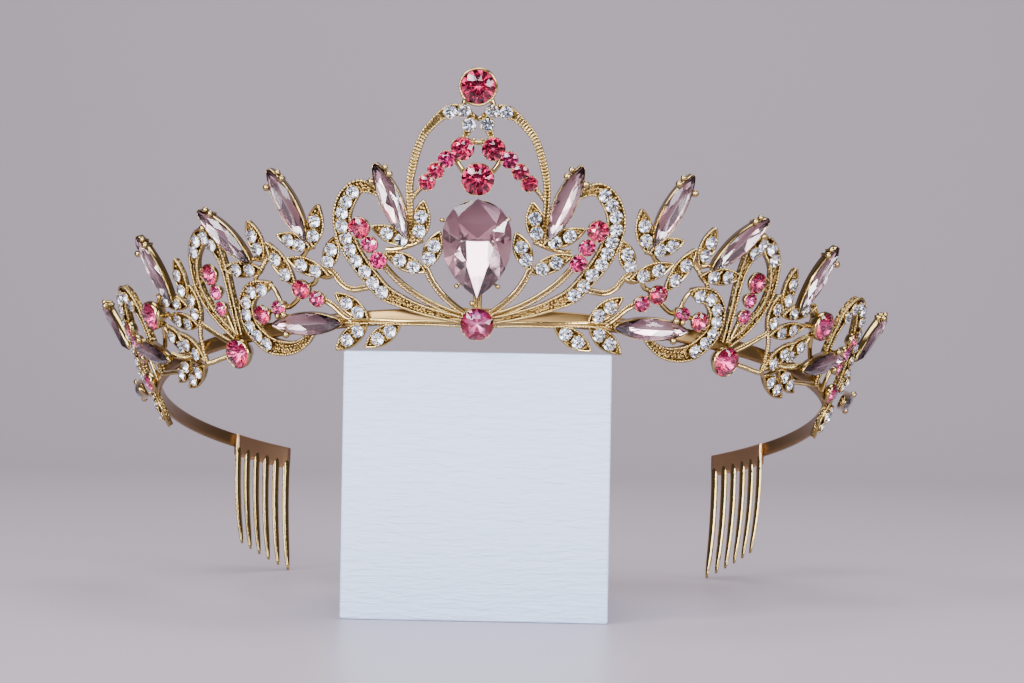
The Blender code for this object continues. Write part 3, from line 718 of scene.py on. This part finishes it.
def claw(foot, head, size, place):
    """A round-headed claw: a short wire from its foot to its head, both in the stone's own axes."""
    foot, head = np.array(foot), np.array(head)
    heading = unit(head - foot)
    # Square to the claw, by way of a direction that no claw runs in
    first = unit(np.cross(heading, (0.3, 1.0, 0.2)))
    frames = [settle(np.repeat(v[None], 4, 0), (0, *place[1:])) for v in (first, np.cross(heading, first))]
    line = settle(np.linspace(foot, head, 4), place)
    return [round_wire(line, *frames, size * 0.5, 6), ball(head, size, place)]


# Round stones in their cups

CLEAR_GIRDLE = 1.12
STRING_GIRDLE = 1.15
LARGE_GIRDLE = 1.8
CENTRE_LIPS = (0.42, 0.12, 0.12)

clear_cut = cut_stone(round_outline, 8, table=(0.56, 0.56), crown=0.34, pavilion=PAVILION)
rose_cut = cut_stone(round_outline, 8, table=(0.5, 0.5), crown=0.38, pavilion=PAVILION)
large_cut = cut_stone(round_outline, 10, table=(0.46, 0.46), crown=0.38, pavilion=PAVILION)
# The bottom stone is cut shallow, and its mains are painted pale and middling by turns: painted light in rays
# like a star's
shallow_cut = with_painted_shading(
    cut_stone(round_outline, 10, table=(0.46, 0.46), crown=0.38, pavilion=0.42),
    ("P" * 10, "P" * 10, "PM" * 5, "M" * 10, "M" * 10),
)
clear_parts, rose_parts, pink_parts, side_parts, centre_parts = [], [], [], [], []
setting_parts, middle_settings = [], []


def set_clear(place):
    """Adds a small clear stone in four grains, with a low collar under it."""
    clear_parts.append(loose_set(clear_cut, raised(place, CLEAR_GIRDLE), CLEAR_RADIUS))
    collar = cup(place, CLEAR_RADIUS, foot=-0.1, girdle=CLEAR_GIRDLE, sides=14, lip=0.08, over=0.0)
    setting_parts.append(collar)
    setting_parts.extend(grains(place, CLEAR_RADIUS + 0.06, 4, 0.24, 1.1, random.uniform(0, pi / 2)))


def set_string_stone(parts, place, radius):
    """Adds a small rose stone in a thin cup with three grains."""
    parts.append(loose_set(rose_cut, raised(place, STRING_GIRDLE), radius))
    setting_parts.append(cup(place, radius, foot=-0.7, girdle=STRING_GIRDLE, sides=20, lip=0.09, over=0.05))
    turn = random.uniform(0, 2 * pi)
    setting_parts.extend(grains(place, radius + 0.1, 3, 0.22, STRING_GIRDLE + 0.1, turn))


for angle, height in CLEAR_STONES:
    set_clear(place_at(angle, height))
for k, (angle, height, radius) in enumerate(ROSE_STRINGS):
    set_string_stone(pink_parts if k in PINK_ONES else rose_parts, place_at(angle, height), radius)
for angle, height, radius in SIDE_ROUNDS:
    place = place_at(angle, height)
    side_parts.append(set_stone(large_cut, raised(place, LARGE_GIRDLE), radius, spin=0.2))
    setting_parts.append(cup(place, radius, foot=-1.2, girdle=LARGE_GIRDLE, sides=36, lip=0.16, over=0.05))
for (angle, height, radius), lip, cut in zip(CENTRE_ROUNDS, CENTRE_LIPS, (large_cut, large_cut, shallow_cut)):
    place = place_at(angle, height)
    centre_parts.append(set_stone(cut, raised(place, LARGE_GIRDLE), radius, spin=0.35))
    setting = cup(place, radius, foot=-1.15, girdle=LARGE_GIRDLE, sides=48, lip=lip, over=lip * 0.6)
    middle_settings.append(setting)


# Leaves

# Section of a leaf: shares of its half width, and heights
LEAF_SECTION = (
    (-1, 0.1), (-0.94, 0.42), (-0.6, 0.22), (0, 0.15), (0.6, 0.22), (0.94, 0.42), (1, 0.1),
    (0.8, -0.55), (-0.8, -0.55),
)
LEAF_FULLNESS = 0.8
LEAF_RIM_INSET = 0.12
LEAF_RIM_LIFT = 0.45
LEAF_BEAD_RADIUS = 0.3
LEAF_WIRE_RADIUS = 0.26
# The two clear stones of a leaf, as shares of its length from its middle
LEAF_STONES = (-0.22, 0.12)

leaf_plates, leaf_rims = [], []


def add_leaf(root, tip, width):
    """Adds a dished plate between a beaded rim and a smooth one, with two clear stones.

    Its half width is width / 2 * sin(pi s) ** LEAF_FULLNESS, where s runs from root to tip.
    """
    place, length = place_between(root, tip)
    s = np.linspace(0.02, 0.98, 26)[:, None]
    x, z = np.array(LEAF_SECTION).T
    half = width / 2 * np.sin(pi * s) ** LEAF_FULLNESS
    rows = np.stack(np.broadcast_arrays(half * x, length * (s - 0.5), z), -1)
    leaf_plates.append(skin(settle(rows, place)))
    s = np.linspace(0.0, 1.0, round(length * 6 / BEAD_PITCH))
    edge = np.maximum(width / 2 * np.sin(pi * s) ** LEAF_FULLNESS - LEAF_RIM_INSET, 0.02)
    for side in (-1, 1):
        rim = np.stack([side * edge, length * (s - 0.5), np.full(len(s), LEAF_RIM_LIFT)], -1)
        line = settle(rim, place)
        across = unit(np.cross(np.gradient(line, axis=0), place[3]))
        distance = np.concatenate([[0], np.cumsum(np.linalg.norm(np.diff(line, axis=0), axis=1))])
        radius = milgrain(distance, LEAF_BEAD_RADIUS) if side < 0 else LEAF_WIRE_RADIUS
        leaf_rims.append(round_wire(line, across, np.broadcast_to(place[3], line.shape), radius))
    for share in LEAF_STONES:
        set_clear((place[0] + place[2] * length * share, *place[1:]))


for *ends, width in LEAVES:
    add_leaf(ends[:2], ends[2:], width)


# Scrolls and the arch

# Section of a scroll's floor: shares of its half width, and heights
SCROLL_SECTION = (
    (-1, -0.75), (-1, 0.3), (-0.6, 0.12), (0, 0.08), (0.6, 0.12), (1, 0.3), (1, -0.75), (0, -0.8),
)
SCROLL_STEP = 0.35
DOT_RADIUS = 0.24


def scroll_floor(points):
    """A floor along a scroll's path, between its two rims."""
    path, _ = smooth_path(points, SCROLL_STEP)
    share, height = np.array(SCROLL_SECTION).T
    width = path[:, 2:] / 2 * share
    return skin(loop_rows(*rail(path), width, np.broadcast_to(height, width.shape)))


def beaded_rims(points, step, inset, lift, radius, pitch):
    """Two beaded wires along a flat stem, one at each of its edges."""
    path, distance = smooth_path(points, step)
    return [
        round_wire(*rail(path, side * (path[:, 2] / 2 - inset), lift), milgrain(distance, radius, pitch))
        for side in (-1, 1)
    ]


def dots(points, pitch, spread, lift):
    """Two rows of small punched dots along a path, each row's dots halfway between the other's."""
    path, _ = smooth_path(points, pitch / 2)
    made = []
    for k, (angle, height) in enumerate(path[:, :2]):
        _, across, _ = rail(path[max(k - 1, 0) : k + 2])
        origin, *directions = place_at(angle, height, lift)
        shift = across[0] * (spread if k % 2 else -spread)
        made.append(ball((0, 0, 0), DOT_RADIUS, (origin + shift, *directions)))
    return made


scroll_floors = [scroll_floor(points) for points in SCROLLS.values()]
scroll_rims = []
for points in SCROLLS.values():
    rims = beaded_rims(points, BEAD_PITCH / 6, inset=0.1, lift=0.42, radius=0.31, pitch=BEAD_PITCH)
    scroll_rims.extend(rims)
for points in DOTTED_RUNS:
    scroll_rims.extend(dots(points, pitch=0.7, spread=0.4, lift=0.2))

# Section of the arch: shares of its half width, and heights, with 0 where the bars lie across its floor
ARCH_SECTION = (
    (-1, -0.7), (-1, 0.2), (-0.7, 0), (-0.35, 0), (0, 0), (0.35, 0), (0.7, 0), (1, 0.2), (1, -0.7),
    (0, -0.75),
)
ARCH_INSET = 0.15
ARCH_FLOOR = 0.05
# Height of the bars near the top, and how much higher they are on the narrow legs below NARROW_FROM
BAR_HEIGHT = 0.22
BAR_GROWTH = 0.33
NARROW_FROM = 28.5
NARROW_OVER = 3.5
# The floor is flat within this distance of a clear stone's centre, and the bars rise over the next stretch
FLAT_WITHIN = 1.1
FLAT_OVER = 0.3


def arch_floor(points):
    """A floor with bars across it that stand proud on the narrow legs and sink between the rims higher up.

    They are bare * (BAR_HEIGHT + BAR_GROWTH * narrow) * sqrt|sin(pi * distance / RIDGE_PITCH)| high,
    where narrow grows from 0 to 1 down the legs, and bare from 0 to 1 away from the clear stones.
    """
    path, distance = smooth_path(points, RIDGE_PITCH / 8)
    line, across, out = rail(path)
    share, height = np.array(ARCH_SECTION).T
    width = (path[:, 2:] / 2 - ARCH_INSET) * share
    narrow = np.clip((NARROW_FROM - path[:, 1]) / NARROW_OVER, 0, 1)
    nearest = np.min([np.linalg.norm(line - sheet(*spot)[0], axis=1) for spot in CLEAR_STONES], 0)
    bare = np.clip((nearest - FLAT_WITHIN) / FLAT_OVER, 0, 1)
    bars = np.sqrt(np.abs(np.sin(pi * distance / RIDGE_PITCH)))
    ridge = ARCH_FLOOR + (bare * (BAR_HEIGHT + BAR_GROWTH * narrow) * bars)[:, None]
    return skin(loop_rows(line, across, out, width, np.where(height == 0, ridge, height)))


arch_parts = []
for points in (ARCH, ARCH_CURL):
    arch_parts.append(arch_floor(points))
    rims = beaded_rims(points, RIDGE_PITCH / 8, inset=0.34, lift=0.38, radius=0.25, pitch=RIDGE_PITCH)
    arch_parts.extend(rims)


# Wires

# A twin wire: how far its plain and its beaded wire lie from the path, and the share of the radius of each
TWIN_PLAIN = -0.3
TWIN_BEADED = 0.36
TWIN_RISE = 0.1
TWIN_SHARE = 0.85
# A beaded wire's beads swell a little beyond its radius
BEADED_SHARE = 1.1


def wire(kind, radius, points):
    """A plain or beaded round wire along a path, or a plain one beside a beaded one."""
    path, distance = smooth_path(points, BEAD_PITCH / 6)
    lift = dip(path)
    if kind == "twin":
        return [
            round_wire(*rail(path, TWIN_PLAIN, lift), radius * TWIN_SHARE, 10),
            round_wire(*rail(path, TWIN_BEADED, lift + TWIN_RISE), milgrain(distance, radius * TWIN_SHARE)),
        ]
    swell = milgrain(distance, radius * BEADED_SHARE) if kind == "beaded" else radius
    return [round_wire(*rail(path, 0.0, lift), swell, 10)]


# A bead on the link between the arch's curls comes first
wire_parts = [ball((0, 0, 0), 0.36, place_at(0.5, 29.0, 0.5))]
for kind, radius, points in WIRES:
    wire_parts.extend(wire(kind, radius, points))


# Long crystals

CRYSTAL_GIRDLE = 1.4
# The tray's wall: distances outside the outline, and heights
CRYSTAL_WALL = ((0.05, -0.1), (0.16, -0.1), (0.2, 1.2), (0.12, 1.36), (0.05, 1.25), (0.05, 0.1))
# Claws near the outer tip: foot and head in the crystal's own axes, radius of the head
CRYSTAL_CLAWS = (
    ((-1.35, 4.7, -0.4), (-1.9, 4.7, 1.5), 0.74),
    ((1.35, 4.7, -0.4), (1.9, 4.7, 1.5), 0.74),
    ((-1.0, 5.8, -0.3), (-1.65, 6.1, 1.3), 0.6),
)
# A row for each kind of facet: painted shade, mostly deep, on one side of the back, and painted light,
# middling or pale, on the other
CRYSTAL_PAINTED_SHADING = ("MMMMMM", "DDDMMM", "MDDPMP", "DDMPMD", "DMDMPM")

crystal_parts, tray_parts = [], []
for *ends, width, lift in MARQUISES:
    place, _ = place_between(ends[:2], ends[2:], lift)
    outline = marquise_outline(width - 0.2, MARQUISE_LENGTH)
    crystal = cut_stone(outline, 6, table=(0.5, 0.78), crown=0.8, pavilion=0.6, keel=(0.03, 0.6), start=0.25)
    crystal_parts.append(set_stone(with_painted_shading(crystal, CRYSTAL_PAINTED_SHADING), raised(place, CRYSTAL_GIRDLE)))
    tray_parts.append(tray(outline, CRYSTAL_WALL, place, 64))
    for foot, head, size in CRYSTAL_CLAWS:
        tray_parts.extend(claw(foot, head, size, place))


# The pear-shaped crystal

PEAR_GIRDLE = 2.1
PEAR_WALL = ((-0.95, -1.2), (-0.85, -1.2), (-0.3, 1.2), (-0.28, 1.6), (-0.4, 1.5), (-1.0, -0.9))
# Heads of the four claws that stand beside it
PEAR_CLAWS = ((-3.8, -7.3, 0.9), (3.8, -7.3, 0.9), (-6.5, 5.0, 0.9), (5.6, 5.2, 0.3))
PEAR_CLAW_RADIUS = 0.5
# A row for each kind of facet, round from the top by way of the left: mostly deep painted shade, but middling
# at the tip
PEAR_PAINTED_SHADING = ("MMMMMMMMMM", "MMMMMMMMMM", "DDMDMMPDMD", "DPDMDMMDDD", "DDDDMMDDDP")

place, length = place_between((0, PEAR_TIP), (0, PEAR_TOP), PEAR_LIFT)
outline = pear_outline(length, PEAR_RADIUS)
pear = cut_stone(
    outline, 10, table=(0.5, 0.5), crown=1.22, pavilion=2.4, keel=(0.5, 0.03), centre=1.4, start=0.25
)
pear_parts = [set_stone(with_painted_shading(pear, PEAR_PAINTED_SHADING), raised(place, PEAR_GIRDLE))]
middle_settings.append(tray(outline, PEAR_WALL, place, 96))
for x, y, height in PEAR_CLAWS:
    middle_settings.extend(claw((x * 0.4, y * 0.8, -0.4), (x, y, height), PEAR_CLAW_RADIUS, place))
# A bead beside the stem below the pear
middle_settings.append(ball((0, 0, 0), 0.6, place_at(-0.75, 1.9, 0.4)))


# Band and combs

BAND_INSET = 0.85
BAND_HALF_THICKNESS = 0.6
BAND_HALF_HEIGHT = 1.48
# How square a strip's edges are: 1 is an ellipse, and 0 a rectangle
STRIP_ROUNDNESS = 0.45
SPINE_DROP = 1.2
SPINE_INSET = 1.9
SPINE_HALF_THICKNESS = 0.45
SPINE_HALF_HEIGHT = 2.4864
# How far the middles of the outer teeth are from the ends of the spine
SPINE_END = 0.85
TOOTH_TOP = 0.1
TOOTH_LENGTH = 23.7
# How much longer the rearmost tooth is than the first
TOOTH_GROWTH = 3.67
TOOTH_INSET = 2.1
TOOTH_BEND = 2.4
TOOTH_BEND_FROM = 3.1
TOOTH_HALF_WIDTH = 0.98
TOOTH_HALF_THICKNESS = 0.4


def upright(angle, drop, inset):
    """Points beside the band, and the band's axis, the outward way and the way along it.

    The points are below the band's plane by a drop and inside the ring by an inset.
    """
    angle = np.atleast_1d(np.asarray(angle, float))
    points, along, _, _ = sheet(angle, np.zeros_like(angle))
    axis = lean(np.array([0, 0, 1.0]))
    out = np.cross(along, axis)
    return points - axis * np.reshape(drop, (-1, 1)) - out * np.reshape(inset, (-1, 1)), axis, out, along


def flat_strip(angles, drop, inset, half_thickness, half_height):
    """A strip on edge round the ring: its section is h * sign * |cos| ** p and h * sign * |sin| ** p.

    Here h is each half size and p is STRIP_ROUNDNESS.
    """
    line, axis, out, _ = upright(angles, np.full(len(angles), drop), np.full(len(angles), inset))
    turn = np.linspace(0, 2 * pi, 16, endpoint=False)[:, None]
    thick = np.sign(np.cos(turn)) * np.abs(np.cos(turn)) ** STRIP_ROUNDNESS * half_thickness
    tall = np.sign(np.sin(turn)) * np.abs(np.sin(turn)) ** STRIP_ROUNDNESS * half_height
    return skin(line[:, None] + out[:, None] * thick + axis * tall)


def comb_tooth(angle, length):
    """A flat oval tooth, bent inwards by TOOTH_BEND * f * f, where f goes from 0 to 1 at its tip."""
    t = np.linspace(0, 1, 24)
    drop = TOOTH_TOP + length * t
    free = np.clip((drop - TOOTH_BEND_FROM) / (drop[-1] - TOOTH_BEND_FROM), 0, 1)
    line, _, out, along = upright(np.full(len(t), angle), drop, TOOTH_INSET + TOOTH_BEND * free**2)
    wide = TOOTH_HALF_WIDTH * np.interp(t, [0, 0.3, 0.6, 0.85, 0.97, 1], [1, 1, 0.95, 0.8, 0.5, 0.25])
    thick = TOOTH_HALF_THICKNESS * np.interp(t, [0, 0.12, 0.9, 1], [0.2, 1, 1, 0.6])
    turn = np.linspace(0, 2 * pi, 12, endpoint=False)
    return skin(loop_rows(line, along, out, np.cos(turn) * wide[:, None], np.sin(turn) * thick[:, None]))


band_angles = np.linspace(-BAND_END_ANGLE, BAND_END_ANGLE, 220)
band_parts = [flat_strip(band_angles, 0.0, BAND_INSET, BAND_HALF_THICKNESS, BAND_HALF_HEIGHT)]

start, end = COMB_ANGLES
spine_angles = np.linspace(start, end, 20)
spine = flat_strip(spine_angles, SPINE_DROP, SPINE_INSET, SPINE_HALF_THICKNESS, SPINE_HALF_HEIGHT)
# The spine has the second of the combs' two finishes
comb_parts = [(*spine, [1, 1, 1])]
half_angle = np.degrees(SPINE_END / (RING_RADIUS - SPINE_INSET))
for share in np.linspace(0, 1, COMB_TEETH):
    angle = start + half_angle + (end - start - 2 * half_angle) * share
    comb_parts.append(comb_tooth(angle, TOOTH_LENGTH + TOOTH_GROWTH * share))


# The display box

BOX_EDGE = 0.45


def box_rows():
    """Rows round the box from foot to top: a square whose corners and edges are quarter circles."""
    turn = np.linspace(0, pi / 2, 7)
    bend = np.concatenate([turn + k * pi / 2 for k in range(4)])
    corner = np.repeat([(1, 1), (-1, 1), (-1, -1), (1, -1)], len(turn), 0)
    reach = BOX_EDGE * np.concatenate([np.sin(turn), np.cos(turn)])
    foot = BOX_EDGE * (1 - np.cos(turn))
    top = BOX_SIDE - BOX_EDGE + BOX_EDGE * np.sin(turn)
    height = np.concatenate([foot, top])
    flat = corner * (BOX_SIDE / 2 - BOX_EDGE)
    rows = flat[None] + reach[:, None, None] * np.stack([np.cos(bend), np.sin(bend)], -1)[None]
    return np.dstack([rows, np.broadcast_to(height[:, None], rows.shape[:2])])


box_part = skin(box_rows() + np.array([0, RING_CENTRE_Y - BOX_FRONT + BOX_SIDE / 2, 0]))


# The pieces

CASTING = ("tiara_frame",)
hands = ("left", "right")
side_nodes = [f"round_side_{end}_{hand}" for end in ("front", "back") for hand in hands]
centre_nodes = ("round_finial", "round_centre", "round_bottom")
crystal_nodes = [f"marquise_{k}_{hand}" for k in range(1, len(MARQUISES) + 1) for hand in hands]

# Metal: name, skins, materials, whether it has a mirror image
for name, parts, finishes, mirrored in (
    ("side_combs", comb_parts, [gold, comb_gold], True),
    ("leaf_plates", leaf_plates, [stippled_painted_shade], True),
    ("leaf_rims", leaf_rims, [gold], True),
    ("scroll_floors", scroll_floors, [stippled_painted_shade], True),
    ("scroll_rims", scroll_rims, [gold], True),
    ("ridged_arch", arch_parts, [gold], True),
    ("stem_wires", wire_parts, [gold], True),
    ("stone_settings", setting_parts, [gold], True),
    ("crystal_trays", tray_parts, [gold], True),
    ("middle_settings", middle_settings, [gold], False),
    ("head_band", band_parts, [band_gold_painted_shade], False),
):
    add_piece(name, parts, finishes, mirrored, nodes=CASTING)
# Stones: the same, and then the nodes that they replace and their slot
for name, parts, finishes, mirrored, nodes, slot in (
    ("clear_stones", clear_parts, clear, True, CASTING, None),
    ("rose_strings", rose_parts, rose, True, CASTING, "rose_glass"),
    ("pink_string_stones", pink_parts, pink, True, CASTING, "rose_glass"),
    ("side_rounds", side_parts, rose, True, side_nodes, "rose_glass"),
    ("centre_rounds", centre_parts, rose, False, centre_nodes, "rose_glass"),
    ("long_crystals", crystal_parts, blush, True, crystal_nodes, "blush_crystal"),
    ("pear_crystal", pear_parts, blush, False, ("pear_stone",), "blush_crystal"),
):
    add_piece(name, parts, finishes, mirrored, smooth=False, nodes=nodes)
add_piece("white_box", [box_part], [card], mirrored=False, nodes=("display_box",))


# Floor and light, in metres

# The floor bends up into a plain wall behind: level to SWEEP_START, a quarter circle, then upright
FLOOR_FRONT = -0.18
FLOOR_HALF_WIDTH = 2.4
SWEEP_START = 0.5
SWEEP_RADIUS = 0.6
WALL_TOP = 2.2
FLOOR_GAP = 0.00002


def add_floor():
    """A plain painted backdrop with a soft satin sheen: a sheet between two copies of its side outline."""
    bend = np.linspace(0, pi / 2, 33)
    wall = SWEEP_START + SWEEP_RADIUS
    run = np.concatenate([[FLOOR_FRONT], SWEEP_START + SWEEP_RADIUS * np.sin(bend), [wall]])
    climb = np.concatenate([[0], SWEEP_RADIUS * (1 - np.cos(bend)), [WALL_TOP]]) - FLOOR_GAP
    count = len(run)
    sides = (-FLOOR_HALF_WIDTH, FLOOR_HALF_WIDTH)
    rows = np.stack([np.stack([np.full(count, x), run, climb], -1) for x in sides])
    left, right = np.arange(2 * count).reshape(2, count)
    quads = np.stack([left[:-1], right[:-1], right[1:], left[1:]], -1)
    mesh = bpy.data.meshes.new("floor")
    mesh.from_pydata(rows.reshape(-1, 3).tolist(), [], quads.tolist())
    mesh.polygons.foreach_set("use_smooth", np.ones(len(quads), bool))
    mesh.materials.append(material("pale_floor", {"Base Color": colour("A0959E"), "Roughness": 0.4})[0])
    floor = bpy.data.objects.new("floor", mesh)
    bpy.context.scene.collection.objects.link(floor)


def add_softbox(name, spot, target, size, power, tint):
    """A soft square lamp at a spot that faces a target."""
    lamp = bpy.data.lights.new(name, "AREA")
    lamp.shape = "RECTANGLE"
    lamp.size, lamp.size_y = size
    lamp.energy = power
    lamp.color = colour(tint)[:3]
    made = bpy.data.objects.new(name, lamp)
    made.location = spot
    made.rotation_euler = (Vector(target) - Vector(spot)).to_track_quat("-Z", "Y").to_euler()
    bpy.context.scene.collection.objects.link(made)


# Lamps: name, spot, target, size, power in watts, tint
SOFTBOXES = (
    ("key", (-0.7, -0.75, 0.75), (0, -0.03, 0.06), (0.4, 0.4), 14, "F8FAFF"),
    ("fill", (0.9, -0.6, 0.4), (0, -0.03, 0.06), (0.3, 0.6), 9, "F3F6FF"),
    ("top", (0.1, 0.1, 0.95), (0, -0.02, 0.06), (0.7, 0.5), 9, "FFFFFF"),
    ("front", (-0.1, -0.85, 0.52), (0, -0.03, 0.07), (0.6, 0.5), 12, "F2F6FF"),
    ("strip_left", (-0.48, -0.95, 0.02), (0, -0.03, 0.07), (0.12, 0.45), 11, "FFFFFF"),
    ("strip_right", (0.5, -0.95, 0.08), (0, -0.03, 0.07), (0.12, 0.45), 11, "FFFFFF"),
)

add_floor()
world = bpy.data.worlds.new("studio")
bpy.context.scene.world = world
world.use_nodes = True
room = world.node_tree.nodes["Background"]
room.inputs["Color"].default_value = colour("B9AFB6")
room.inputs["Strength"].default_value = 0.3
for softbox in SOFTBOXES:
    add_softbox(*softbox)


# Camera: a little to the right of the middle, level with the tiara, and leaning by about a degree

CAMERA_AZIMUTH = radians(2.11)
CAMERA_DISTANCE = 558.5
CAMERA_SHIFT = 3.88
CAMERA_HEIGHT = 51.2
CAMERA_RISE = radians(0.12)
CAMERA_ROLL = radians(0.95)
SENSOR_WIDTH = 36
# The lens that makes the photograph's perspective, and the photograph's width, in its pixels
LENS_PIXELS = 2640
PHOTO_PIXELS = 1024

camera = bpy.data.cameras.new("camera")
camera.lens = SENSOR_WIDTH * LENS_PIXELS / PHOTO_PIXELS
camera.clip_start = 0.01
viewer = bpy.data.objects.new("camera", camera)
right = Vector((cos(CAMERA_AZIMUTH), sin(CAMERA_AZIMUTH), 0))
ahead = Vector((-sin(CAMERA_AZIMUTH), cos(CAMERA_AZIMUTH), 0))
spot = Vector((0, RING_CENTRE_Y, CAMERA_HEIGHT)) - ahead * CAMERA_DISTANCE + right * CAMERA_SHIFT
sight = ahead * cos(CAMERA_RISE) + Vector((0, 0, sin(CAMERA_RISE)))
aim = sight.to_track_quat("-Z", "Y").to_matrix().to_4x4()
viewer.matrix_world = Matrix.Translation(spot * MM) @ aim @ Matrix.Rotation(CAMERA_ROLL, 4, "Z")
bpy.context.scene.collection.objects.link(viewer)
bpy.context.scene.camera = viewer
